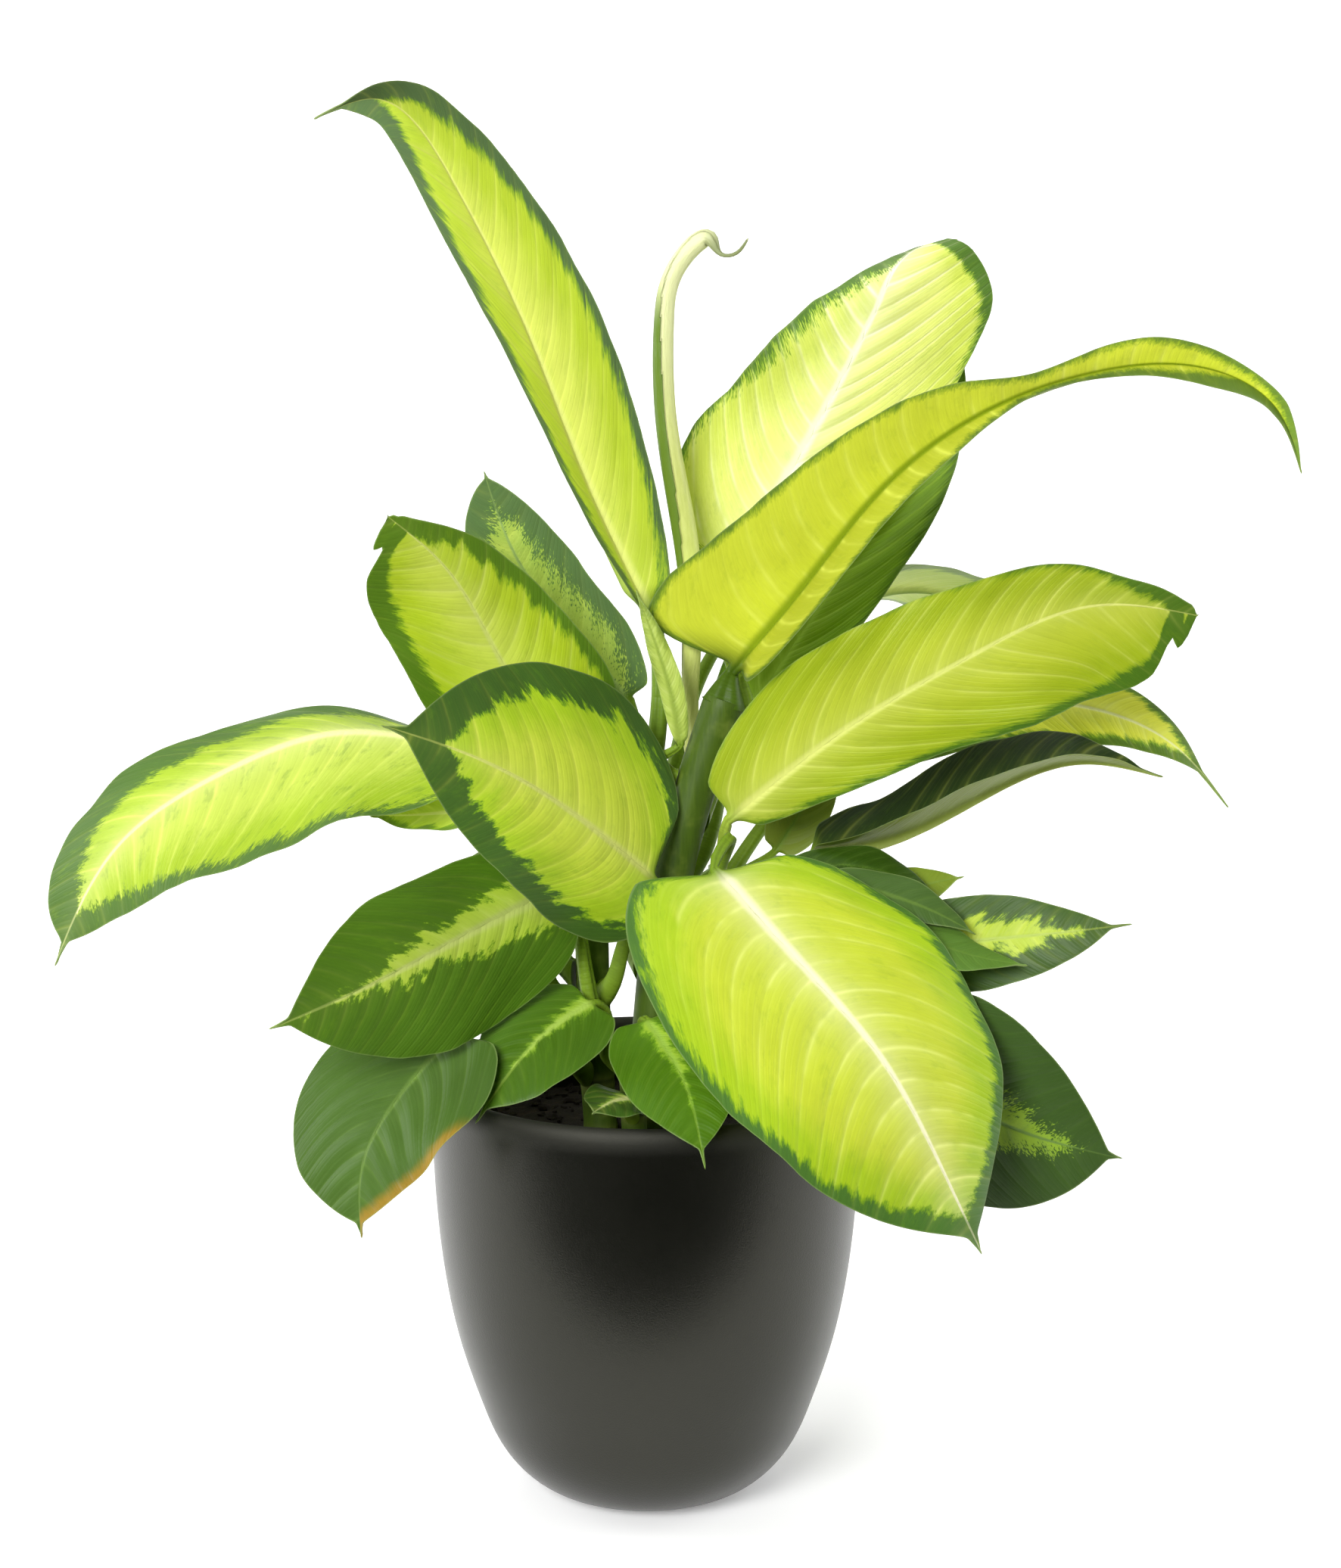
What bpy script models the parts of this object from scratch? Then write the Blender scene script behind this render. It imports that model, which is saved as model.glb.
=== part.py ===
"""Potted dieffenbachia: a rounded matte black pot, its soil, five fleshy canes and the leaves on them.

Metres, +Z up. The origin is the middle of the flat foot that the pot stands on, and -Y is the front.
The design values are millimetres at real size, and MM turns them into metres when a mesh is made.
Each leaf is one closed loft: a round stalk that leaves its cane and spreads into a thin folded blade
with a rib under its middle line.
"""

import math

import bmesh
import bpy
import numpy as np

NAME = "potted_dieffenbachia"
MM = 0.001
GAP = 0.3

# Pot: height and outer radius, from the foot up to where the lip starts to round over
POT_OUTSIDE = (
    (0, 38), (4, 49), (13, 61), (26, 70.5), (44, 78), (70, 86.5), (100, 93), (140, 97.5), (175, 99.2),
    (194, 100),
)
POT_HEIGHT = 200
POT_WALL = 8
POT_FLOOR = 10
LIP_ROUNDING = 3.5
POT_SIDES = 48

# Soil: height at the wall and in the middle, and how deep the canes stand in it
SOIL_EDGE = 170
SOIL_MIDDLE = 175
CANE_BOTTOM = 112
CANE_SIDES = 12

# Canes: where each leaves the soil and the points that it passes through
CANES = {
    "cane_main": dict(radius=10, route=((0, 0, 175), (5, 3, 240), (14, 7, 300), (27, 9, 345), (36, 10, 372))),
    "cane_left": dict(radius=8, route=((-21, -8, 175), (-24, -6, 230), (-25, 0, 285))),
    "cane_right": dict(radius=8, route=((21, -8, 175), (26, -4, 225), (33, 4, 280))),
    "cane_front": dict(radius=6, route=((-5, -31, 175), (-7, -32, 225))),
    "cane_back": dict(radius=8, route=((2, 27, 175), (4, 33, 250), (6, 40, 320))),
}

# Leaves: the blade's thickness, how its tip ends, where its foot's lobes are, how far a stalk stands off
# its cane, the half width up to which a leaf counts as small, and the number of sections along each kind
BLADE_THICKNESS = 0.8
TIP_HALF_WIDTH = 0.8
TIP_LENGTH = 2
LOBE_PLACE = 0.10
FOOT_REACH = 7
SMALL_LEAF = 30
WIDE_SECTIONS = dict(blade=9, stalk=5, upper=6)
SMALL_SECTIONS = dict(blade=6, stalk=4, upper=4)
FRAME_STEPS = 200

# What a leaf has unless its own row says otherwise:
#   foot    height on the cane and the way that the stalk leaves it, in degrees from the front to the right,
#           or None for a stalk that goes on from the cane's end
#   stalk   points that the stalk passes through, radii: its radius at the foot and at the blade
#   rib     the midrib's points from the blade's foot to its tip
#   face    where the upper face looks at the middle of the blade: degrees round, and degrees up
#   half    half widths of the left and the right side, walking from foot to tip on the upper face
#   widest  where along the rib a side is widest, tip: how full its taper is, lobe: how far its foot goes back
#   fold    degrees that left and right side are folded up at the foot, then left and right at the tip
#   curl    a side's crown, wave: height, number and start of its waves
#   bend    a line that the far end is bent back over: a point on it, its direction, the radius and the angle
#           A side's own value stands in a pair, left then right.
PLAIN = dict(
    stalk=(), radii=(4.5, 2.4), half=(40, 40), widest=0.42, tip=(2.3, 0.9), lobe=3, fold=(0, 0, 0, 0),
    curl=0.0, wave=(1, 2, 0.2), bend=None,
)
LEAVES = {
    "leaf_tall_left": dict(
        cane="cane_main", foot=(292, -148), stalk=((4, 21, 345),), radii=(5, 3.6),
        rib=((-1, 25, 419), (-27, 20, 470), (-51, 10, 534), (-84, -5, 604), (-114, -25, 640),
             (-140, -45, 632)),
        face=(-2, -11), half=(24, 35), widest=(0.5, 0.38), lobe=(2, 5), fold=(78, 0, 60, 0)),
    "leaf_pale_top": dict(
        cane="cane_main", foot=(352, 115), stalk=((38, 32, 390),),
        rib=((39, 40, 425), (68, 46, 475), (92, 52, 519), (119, 60, 573), (132, 65, 597)),
        face=(10, 0), half=(50, 46), widest=(0.25, 0.55), tip=((1.4, 1.1), (4.5, 0.6)), lobe=8,
        wave=(2, 2, 0.2),
        bend=dict(at=(98, 60, 546), line=(0.88, 0.0, 0.475), radius=14, angle=150)),
    "leaf_long_tip": dict(
        cane="cane_main", foot=None, radii=(8, 3),
        rib=((39, 10, 384), (71, -5, 425), (109, -20, 475), (145, -25, 503), (196, -12, 521), (255, 0, 521),
             (282, 4, 504), (294, 5, 476)),
        face=(-8, -3), half=(50, 33), widest=0.10, tip=((1.0, 1.5), (1.0, 1.2)), lobe=(26, 4),
        fold=(0, 80, 35, 35)),
    "leaf_shaded": dict(
        cane="cane_main", foot=(318, 144), stalk=((33, 32, 333),),
        rib=((37, 44, 345), (69, 58, 390), (103, 68, 441), (131, 74, 489), (150, 82, 532)),
        face=(-25, 15), half=(32, 22), widest=0.5, lobe=4),
    "leaf_big_right": dict(
        cane="cane_right", foot=(262, 180), stalk=((35, 6, 302),),
        rib=((37, -6, 318), (89, -16, 362), (147, -27, 399), (197, -28, 418), (247, -22, 408)),
        face=(-3, -5), half=(34, 34), widest=(0.32, 0.6), tip=((2.0, 0.8), (3.5, 0.7)), lobe=(6, 8),
        wave=(2, 3, 0.2)),
    "leaf_right_back": dict(
        cane="cane_back", foot=(252, 90), stalk=((50, 42, 300),),
        rib=((84, 55, 333), (157, 50, 362), (209, 45, 361), (246, 45, 344), (272, 45, 315)),
        face=(10, 40), half=(25, 22), lobe=5),
    "leaf_trough": dict(
        cane="cane_right", foot=(240, 112), stalk=((54, 12, 276),), radii=(4, 2.4),
        rib=((73, 20, 298), (107, 17, 304), (153, 10, 327), (197, 5, 344), (235, 5, 337)),
        face=(5, 80), half=(27, 25), widest=0.45, lobe=2, fold=(38, 38, 30, 30)),
    "leaf_front_right": dict(
        cane="cane_right", foot=(248, 2), stalk=((29, -14, 285), (38, -26, 315)),
        rib=((32, -42, 300), (70, -75, 267), (103, -100, 232), (127, -115, 190), (145, -120, 152)),
        face=(25, 48), half=(60, 72), tip=(2.4, 0.9), lobe=(10, 20), fold=(4, 2, 0, 0), curl=-0.08,
        wave=(2, 3, 0.1)),
    "leaf_front_left": dict(
        cane="cane_left", foot=(238, 40), stalk=((-8, -17, 268),),
        rib=((5, -25, 295), (-32, -50, 331), (-74, -80, 362), (-111, -100, 379)),
        face=(49, 16), half=(52, 63), widest=0.38, lobe=(8, 6), fold=(4, 4, 0, 0), wave=(2, 2, 0.2)),
    "leaf_torn": dict(
        cane="cane_left", foot=(264, -168), stalk=((-30, 14, 305),),
        rib=((-34, 5, 338), (-67, -15, 398), (-88, -28, 437), (-112, -40, 461)),
        face=(16, -10), half=(48, 44), widest=(0.5, 0.3), tip=((3.0, 0.7), (1.5, 0.9)), lobe=8,
        wave=(2, 2, 0.2)),
    "leaf_far_left": dict(
        cane="cane_left", foot=(246, -110), stalk=((-48, 20, 316),),
        rib=((-80, 14, 348), (-141, 0, 358), (-192, -18, 342), (-235, -30, 313), (-264, -40, 260)),
        face=(-14, 46), half=(50, 36), widest=(0.38, 0.55), tip=((1.6, 0.9), (3.0, 0.7)), lobe=(6, 4),
        fold=(0, -35, 0, 0), wave=(2, 3, 0.2)),
    "leaf_speckled_left": dict(
        cane="cane_left", foot=(277, 145), stalk=((-14, 30, 330),), radii=(4, 2.4),
        rib=((-8, 40, 365), (-36, 38, 400), (-58, 30, 432), (-73, 20, 474)),
        face=(-10, -20), half=(27, 27), lobe=5),
    "leaf_low_left": dict(
        cane="cane_left", foot=(222, 0), stalk=((-29, -25, 268),),
        rib=((-36, -40, 296), (-72, -60, 282), (-113, -80, 264), (-162, -95, 245)),
        face=(28, -2), half=(47, 36), widest=0.44, lobe=(8, 6), wave=(2, 2, 0.2)),
    "leaf_hanging_left": dict(
        cane="cane_left", foot=(204, -42), stalk=((-48, -22, 234), (-68, -33, 240)),
        rib=((-84, -46, 231), (-109, -66, 206), (-124, -80, 180), (-125, -86, 148)),
        face=(-38, 37), half=(56, 53), lobe=8, wave=(2, 2, 0.2)),
    "leaf_low_centre": dict(
        cane="cane_front", foot=(212, -60), stalk=((-17, -32, 234),), radii=(3.2, 2),
        rib=((-23, -39, 243), (-43, -54, 233), (-74, -81, 199)),
        face=(-16, 51), half=(27, 27), lobe=4),
    "leaf_over_rim": dict(
        cane="cane_front", foot=(203, 30), stalk=((-2, -39, 230),), radii=(3.2, 2),
        rib=((0, -49, 238), (10, -70, 228), (19, -95, 216), (26, -116, 189)),
        face=(-12, 67), half=(25, 27), widest=0.45, lobe=4),
    "leaf_low_right": dict(
        cane="cane_right", foot=(196, 64), stalk=((60, -20, 228),), radii=(4, 2.4),
        rib=((106, -24, 216), (135, -36, 200), (158, -46, 189), (212, -60, 176)),
        face=(-27, -8), half=(52, 46), widest=(0.4, 0.45), tip=((2.0, 0.9), (2.3, 0.9)), lobe=(6, -8)),
    "leaf_pointed_right": dict(
        cane="cane_right", foot=(212, 112), stalk=((60, 4, 250),), radii=(3.2, 2),
        rib=((92, -5, 253), (151, -20, 266), (186, -30, 272), (218, -30, 276)),
        face=(-22, 19), half=(21, 23), lobe=4),
    "leaf_inner_dark": dict(
        cane="cane_right", foot=(257, 76), stalk=((48, -2, 281),), radii=(2.8, 1.8),
        rib=((66, 2, 294), (85, -2, 297), (110, -5, 294), (133, -6, 283)),
        face=(-5, 60), half=(14, 9)),
    "leaf_inner_curled": dict(
        cane="cane_right", foot=(230, 52), stalk=((48, -12, 274),), radii=(2.8, 1.8),
        rib=((84, -16, 293), (111, -21, 287), (131, -25, 280), (148, -27, 271)),
        face=(5, 45), half=(14, 12)),
    "leaf_inner_tip": dict(
        cane="cane_right", foot=(226, 120), stalk=((65, 12, 262),), radii=(2.8, 1.8),
        rib=((90, 8, 275), (120, 6, 284), (145, 5, 290)),
        face=(-5, 40), half=(12, 12)),
    "leaf_inner_small": dict(
        cane="cane_right", foot=(213, 50), stalk=((55, -20, 254),), radii=(2.8, 1.8),
        rib=((88, -28, 273), (114, -33, 273), (144, -38, 264), (170, -42, 260)),
        face=(0, 70), half=(16, 15)),
    "leaf_underside_right": dict(
        cane="cane_right", foot=(272, 128), stalk=((44, 26, 286),), radii=(2.8, 1.8),
        rib=((60, 34, 296), (70, 39, 311), (79, 44, 331), (85, 48, 349)),
        face=(0, 10), half=(14, 14), lobe=2, fold=(20, 20, 10, 10)),
    "leaf_under_far_left": dict(
        cane="cane_left", foot=(230, -98), stalk=((-52, 2, 288),), radii=(2.8, 1.8),
        rib=((-76, 6, 322), (-101, 6, 319), (-125, 2, 319)),
        face=(0, 60), half=(12, 12), lobe=2),
    "leaf_inner_pale": dict(
        cane="cane_main", foot=(333, -80), radii=(2.8, 1.8),
        rib=((10, 3, 355), (9, 2, 376), (6, 1, 397)),
        face=(0, 10), half=(6, 6), lobe=1),
    "leaf_at_soil": dict(
        cane="cane_front", foot=(190, -10), radii=(2.8, 1.8),
        rib=((-6, -48, 200), (-14, -60, 202), (-23, -75, 201)),
        face=(0, 60), half=(14, 14), lobe=2),
    "leaf_back_high": dict(
        cane="cane_back", foot=(308, 165), stalk=((24, 66, 370),),
        rib=((45, 85, 405), (75, 108, 465), (100, 128, 508), (120, 148, 532)),
        face=(180, 20), half=(40, 40), lobe=8, fold=(8, 8, 0, 0), wave=(2, 2, 0.2)),
    "leaf_back_left": dict(
        cane="cane_back", foot=(290, -130), stalk=((-15, 55, 350),),
        rib=((-30, 70, 375), (-62, 100, 405), (-95, 130, 415), (-130, 155, 400)),
        face=(-150, 55), half=(42, 42), lobe=8, fold=(6, 6, 0, 0), wave=(2, 2, 0.2)),
    "leaf_back_right": dict(
        cane="cane_back", foot=(278, 100), stalk=((38, 66, 335),),
        rib=((62, 92, 372), (100, 118, 402), (145, 140, 403), (190, 155, 378)),
        face=(150, 55), half=(40, 40), lobe=8, fold=(6, 6, 0, 0), wave=(2, 2, 0.2)),
    "leaf_back_low_left": dict(
        cane="cane_back", foot=(240, -140), stalk=((-18, 58, 285),),
        rib=((-35, 75, 292), (-55, 110, 275), (-68, 140, 240), (-74, 158, 200)),
        face=(-160, 40), half=(40, 40), lobe=8, fold=(5, 5, 0, 0), wave=(2, 2, 0.2)),
    "leaf_back_low_right": dict(
        cane="cane_back", foot=(225, 140), stalk=((25, 62, 275),),
        rib=((45, 80, 280), (75, 110, 262), (100, 132, 230), (115, 145, 190)),
        face=(155, 40), half=(38, 38), lobe=8, fold=(5, 5, 0, 0), wave=(2, 2, 0.2)),
}

# The youngest leaf is still rolled into a spike with a hooked tip: its middle line and the radius along it
ROLLED_LEAF = dict(
    cane="cane_main", foot=(340, -165), radius=4,
    route=((21, 23, 395), (18.5, 17, 442), (9.5, 15, 497), (8.5, 13, 544), (17, 11, 571), (29, 8, 579),
           (33, 5, 573), (40, 2, 573), (45, 0, 579)),
    radii=(4.5, 7, 6, 4.5, 3.2, 2.4, 2.0, 1.6, 1.0), sides=10, rings=30)


def spline(points, where):
    """Natural cubic through the points. where runs from 0 to 1 along their chords."""
    p = np.asarray(points, float)
    t = chord_places(p)
    h = np.diff(t)
    last = len(t) - 1
    equations = np.eye(last + 1)
    bends = np.zeros_like(p)
    for i in range(1, last):
        equations[i, i - 1:i + 2] = h[i - 1], 2 * (h[i - 1] + h[i]), h[i]
        bends[i] = 6 * ((p[i + 1] - p[i]) / h[i] - (p[i] - p[i - 1]) / h[i - 1])
    m = np.linalg.solve(equations, bends)
    s = np.asarray(where, float)
    k = np.clip(np.searchsorted(t, s, side="right") - 1, 0, last - 1)
    step = h[k][:, None]
    after = (s - t[k])[:, None]
    before = (t[k + 1] - s)[:, None]
    return ((m[k] * before**3 + m[k + 1] * after**3) / (6 * step)
            + (p[k] / step - m[k] * step / 6) * before
            + (p[k + 1] / step - m[k + 1] * step / 6) * after)


def chord_places(points):
    """Place of each point along the chords between them, from 0 to 1. Only x, y and z count."""
    xyz = np.asarray(points, float)[:, :3]
    t = np.concatenate([[0.0], np.cumsum(np.linalg.norm(np.diff(xyz, axis=0), axis=1))])
    return t / t[-1]


def unit(v):
    return v / np.maximum(np.linalg.norm(v, axis=-1, keepdims=True), 1e-12)


def direction(azimuth, height):
    """Unit vector. Azimuth 0 looks to -Y and 90 to +X. Height is degrees above level."""
    a, e = math.radians(azimuth), math.radians(height)
    return np.array([math.sin(a) * math.cos(e), -math.cos(a) * math.cos(e), math.sin(e)])


def tangents(path):
    """Unit direction of a line of points at each of them."""
    return unit(np.gradient(path, axis=0))


def carried(side, along, start):
    """A side vector carried along a line without turning about it, both ways from the point start."""
    out = np.zeros_like(along)
    out[start] = unit(side - along[start] * (side @ along[start]))
    for k in range(start + 1, len(along)):
        out[k] = unit(out[k - 1] - along[k] * (out[k - 1] @ along[k]))
    for k in range(start - 1, -1, -1):
        out[k] = unit(out[k + 1] - along[k] * (out[k + 1] @ along[k]))
    return out


def cane_line(cane):
    """Points of a cane's middle line: straight down in the soil, then its route."""
    route = np.array(CANES[cane]["route"], float)
    steps = max(3, round((route[-1][2] - route[0][2]) / 20))
    return np.vstack([[*route[0][:2], CANE_BOTTOM], spline(route, np.linspace(0, 1, steps + 1))])


def cane_at(cane, height):
    """A cane's middle point at a height, and its direction there."""
    line = cane_line(cane)
    x, y = (np.interp((height - 5, height, height + 5), line[:, 2], line[:, i]) for i in (0, 1))
    return np.array([x[1], y[1], height]), unit(np.array([x[2] - x[0], y[2] - y[0], 10.0]))


def foot_of(leaf):
    """Where a stalk starts, clear of its cane, and the way it leaves: off the cane's side, or on its end."""
    if leaf["foot"] is None:
        line = cane_line(leaf["cane"])
        away = unit(line[-1] - line[-2])
        return line[-1] + GAP * away, away
    height, azimuth = leaf["foot"]
    middle, along = cane_at(leaf["cane"], height)
    away = direction(azimuth, 0)
    away = unit(away - along * (away @ along))
    return middle + (CANES[leaf["cane"]]["radius"] + GAP) * away, away


def stalk_line(leaf, count):
    """The stalk's middle line from its foot to the blade, which it meets in the midrib's direction."""
    after = spline(leaf["rib"], [0.12])
    points = [*leaf["stalk"], leaf["rib"][0]]
    foot, away = foot_of(leaf)
    if leaf["foot"] is not None:
        reach = foot + away * FOOT_REACH + (0, 0, FOOT_REACH)
        points = [reach, *points]
    points = np.vstack([foot, np.array(points, float), after])
    end = chord_places(points)[-2]
    return spline(points, np.linspace(0, end, count + 1)[:-1]), away


def width(u, widest, tip):
    """Share of the half width at u: a round foot up to the widest place, then a taper to the tip."""
    before = np.clip((widest - u) / widest, 0, 1)
    after = np.clip((u - widest) / (1 - widest), 0, 1)
    taper = (1 - after ** tip[0]) ** tip[1] * (1 - 0.3 * after**10)
    return np.where(u < widest, (1 - before**2.3) ** 0.5, taper)


def blade_frames(leaf, u):
    """The rib's points at u, its direction, and the blade's side and upper normal.

    The side is square to the rib and to the face at mid-blade. From there it is carried both ways without
    turning about the rib.
    """
    chain = np.linspace(0, 1, FRAME_STEPS + 1)
    step = 0.5 / FRAME_STEPS
    ahead, behind = (spline(leaf["rib"], np.clip(chain + d, 0, 1)) for d in (step, -step))
    along = unit(ahead - behind)
    middle = FRAME_STEPS // 2
    side = carried(np.cross(along[middle], direction(*leaf["face"])), along, middle)
    along, side = (np.column_stack([np.interp(u, chain, a[:, i]) for i in range(3)]) for a in (along, side))
    along = unit(along)
    side = unit(side - along * np.sum(side * along, axis=1, keepdims=True))
    return spline(leaf["rib"], u), along, side, np.cross(side, along)


def bent_over(points, bend, face):
    """Points past a line are rolled back over it.

    turn = min(ahead / radius, angle), and what is left of ahead goes on straight in the new direction.
    """
    up = direction(*face)
    line = unit(np.array(bend["line"], float))
    up = unit(up - line * (up @ line))
    forward = np.cross(up, line)
    rel = points - bend["at"]
    ahead = np.maximum(rel @ forward, 0)
    lift = rel @ up
    radius = bend["radius"]
    turn = np.minimum(ahead / radius, math.radians(bend["angle"]))
    rest = ahead - radius * turn
    new_ahead = (radius + lift) * np.sin(turn) + rest * np.cos(turn)
    new_lift = (radius + lift) * np.cos(turn) - radius - rest * np.sin(turn)
    return points + (new_ahead - ahead)[..., None] * forward + (new_lift - lift)[..., None] * up


def blade_surface(leaf, u, v):
    """Points of the blade's middle surface at u along the rib and v across it, -1 left edge to 1 right edge.

    out = |v| half width(u), and each point = rib + side out cos(fold)
    + normal (out sin(fold) + curl out^2 / half + wave) - along lobe |v|^1.3 (u / place) exp(1 - u / place).
    """
    rib, along, side, normal = blade_frames(leaf, u)
    right = (v > 0).astype(int)
    keys = ("half", "lobe", "curl", "widest")
    half_of, lobe, curl, widest = (np.broadcast_to(leaf[key], 2) for key in keys)
    tips = np.broadcast_to(leaf["tip"], (2, 2))
    share = np.stack([width(u, widest[k], tips[k]) for k in (0, 1)])[right].T
    half = np.maximum(half_of[right] * share, TIP_HALF_WIDTH)
    out = np.abs(v) * half
    rows = u[:, None]
    at_foot = np.array(leaf["fold"][:2])[right]
    at_tip = np.array(leaf["fold"][2:])[right]
    fold = np.radians(at_foot + (at_tip - at_foot) * rows) * (1 - rows**40)
    height, number, start = leaf["wave"]
    swing = np.sin(2 * math.pi * (number * rows + start) + 1.7 * right)
    wave = height * v**2 * np.sqrt(np.sin(math.pi * rows)) * swing
    up = out * np.sin(fold) + curl[right] * out**2 / half + wave
    place = rows / LOBE_PLACE
    back = lobe[right] * np.abs(v) ** 1.3 * place * np.exp(1 - place)
    sideways = np.sign(v) * out * np.cos(fold)
    points = (rib[:, None] + side[:, None] * sideways[..., None] + normal[:, None] * up[..., None]
              - along[:, None] * back[..., None])
    return bent_over(points, leaf["bend"], leaf["face"]) if leaf["bend"] else points


def blade_normals(leaf, u, v):
    """Unit normals of the upper face, from the surface's slopes along and across."""
    d = 0.002
    ahead = np.minimum(u + d, 1)
    across = blade_surface(leaf, u, v + d) - blade_surface(leaf, u, v - d)
    along = blade_surface(leaf, ahead, v) - blade_surface(leaf, ahead - 2 * d, v)
    return unit(np.cross(across, along))


def blade_rings(leaf, stations, wide):
    """Closed sections of the blade from just after its foot to its tip: upper face, then lower face."""
    u = 0.5 - 0.5 * np.cos(np.linspace(0, math.pi, stations + 1))
    rings = []
    for k in range(1, len(u)):
        at = u[k:k + 1]
        edges = blade_surface(leaf, at, np.array([-1.0, 0.0, 1.0]))[0]
        rib_depth = leaf["radii"][1] * (1 - u[k]) ** 0.8
        sides = np.linalg.norm(edges[[0, 2]] - edges[1], axis=1)
        near = np.minimum(0.3, max(rib_depth, 0.9) / sides)
        v = np.array([-1, -0.5, -near[0], near[1], 0.5, 1] if wide else [-1, -near[0], near[1], 1])
        middle = blade_surface(leaf, at, v)[0]
        normals = blade_normals(leaf, at, v)[0]
        keel_way = unit(normals[len(v) // 2 - 1] + normals[len(v) // 2])
        lower = middle - 0.5 * BLADE_THICKNESS * normals
        keel = edges[1] - keel_way * (2 * rib_depth + BLADE_THICKNESS)
        first = len(v) // 2
        rings.append(np.vstack([middle + 0.5 * BLADE_THICKNESS * normals, lower[:first - 1:-1], keel,
                                lower[first - 1::-1]]))
    return rings


def ring_angles(wide):
    """Angles of a stalk ring's points, which match the blade's: upper side from left to right, then lower."""
    upper = (166, 138, 110, 70, 42, 14) if wide else (160, 115, 65, 20)
    lower = (-14, -42, -66, -90, -114, -138, -166) if wide else (-20, -60, -90, -120, -160)
    return np.radians(upper + lower)


def stalk_rings(leaf, count, wide):
    """Round sections of the stalk from its foot to the blade. The first lies flat against the cane."""
    line, away = stalk_line(leaf, count)
    rib, along, side, _ = (a[0] for a in blade_frames(leaf, np.zeros(1)))
    path = np.vstack([line, rib])
    directions = tangents(path)
    directions[-1] = along
    sides = carried(side, directions, count)
    normals = np.cross(sides, directions)
    radii = np.linspace(*leaf["radii"], count + 1)
    angles = ring_angles(wide)
    across = sides[:, None] * np.cos(angles)[:, None] + normals[:, None] * np.sin(angles)[:, None]
    rings = path[:, None] + radii[:, None, None] * across
    lean = max(directions[0] @ away, 0.45)
    rings[0] -= np.outer((rings[0] - path[0]) @ away, directions[0]) / lean
    rings[0] -= np.outer((rings[0] - path[0]) @ away, away)
    return list(rings)


def leaf_rings(leaf):
    """All sections of one leaf, and how many points each has on its upper side."""
    leaf = {**PLAIN, **leaf}
    wide = max(leaf["half"]) > SMALL_LEAF
    sections = WIDE_SECTIONS if wide else SMALL_SECTIONS
    rings = stalk_rings(leaf, sections["stalk"], wide) + blade_rings(leaf, sections["blade"], wide)
    return rings, sections["upper"]


def rolled_rings(leaf):
    """Round sections of the rolled leaf, from its foot against the cane to its hooked tip."""
    foot, away = foot_of(leaf)
    reach = foot + away * FOOT_REACH + (0, 0, FOOT_REACH)
    points = [(*foot, leaf["radius"]), (*reach, leaf["radius"])]
    points += [(*p, r) for p, r in zip(leaf["route"], leaf["radii"])]
    line = spline(points, np.linspace(0, 1, leaf["rings"]))
    path, radii = line[:, :3], line[:, 3]
    directions = tangents(path)
    sides = carried(np.array([1.0, 0, 0]), directions, len(path) // 2)
    normals = np.cross(sides, directions)
    angles = np.arange(leaf["sides"]) * 2 * math.pi / leaf["sides"]
    across = sides[:, None] * np.cos(angles)[:, None] + normals[:, None] * np.sin(angles)[:, None]
    rings = path[:, None] + radii[:, None, None] * across
    lean = max(directions[0] @ away, 0.45)
    rings[0] -= np.outer((rings[0] - path[0]) @ away, directions[0]) / lean
    return list(rings)


def clear_scene():
    for ob in list(bpy.data.objects):
        bpy.data.objects.remove(ob, do_unlink=True)


def add_collection(name):
    made = bpy.data.collections.new(name)
    bpy.context.scene.collection.children.link(made)
    return made


def add_material(name, colour, roughness):
    made = bpy.data.materials.new(name)
    made.use_nodes = True
    shader = made.node_tree.nodes["Principled BSDF"]
    shader.inputs["Base Color"].default_value = (*colour, 1.0)
    shader.inputs["Roughness"].default_value = roughness
    shader.inputs["Metallic"].default_value = 0.0
    return made


def add_object(name, data, group, finish):
    made = bpy.data.objects.new(name, data)
    group.objects.link(made)
    if finish:
        data.materials.append(finish)
    return made


def loft(name, rings, upper, group, finish):
    """Closed mesh over rings of millimetre points, with a flat first end and a pointed last one.

    Each wall cell is split in two. The cells after the upper ones take the other diagonal, so that the two
    faces of a thin blade are split alike and don't cross where it waves.
    """
    made = bmesh.new()
    points = [[made.verts.new(p * MM) for p in ring] for ring in rings]
    sides = len(rings[0])
    for a, b in zip(points, points[1:]):
        for i in range(sides):
            j = (i + 1) % sides
            if i < upper:
                made.faces.new((a[i], a[j], b[j]))
                made.faces.new((a[i], b[j], b[i]))
            else:
                made.faces.new((a[i], a[j], b[i]))
                made.faces.new((a[j], b[j], b[i]))
    last, before = rings[-1].mean(axis=0), rings[-2].mean(axis=0)
    point = made.verts.new((last + unit(last - before) * TIP_LENGTH) * MM)
    for i in range(sides):
        made.faces.new((points[-1][i], points[-1][(i + 1) % sides], point))
    bmesh.ops.triangulate(made, faces=[made.faces.new(points[0][::-1])])
    bmesh.ops.recalc_face_normals(made, faces=made.faces)
    mesh = bpy.data.meshes.new(name)
    made.to_mesh(mesh)
    made.free()
    mesh.shade_smooth()
    return add_object(name, mesh, group, finish)


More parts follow.
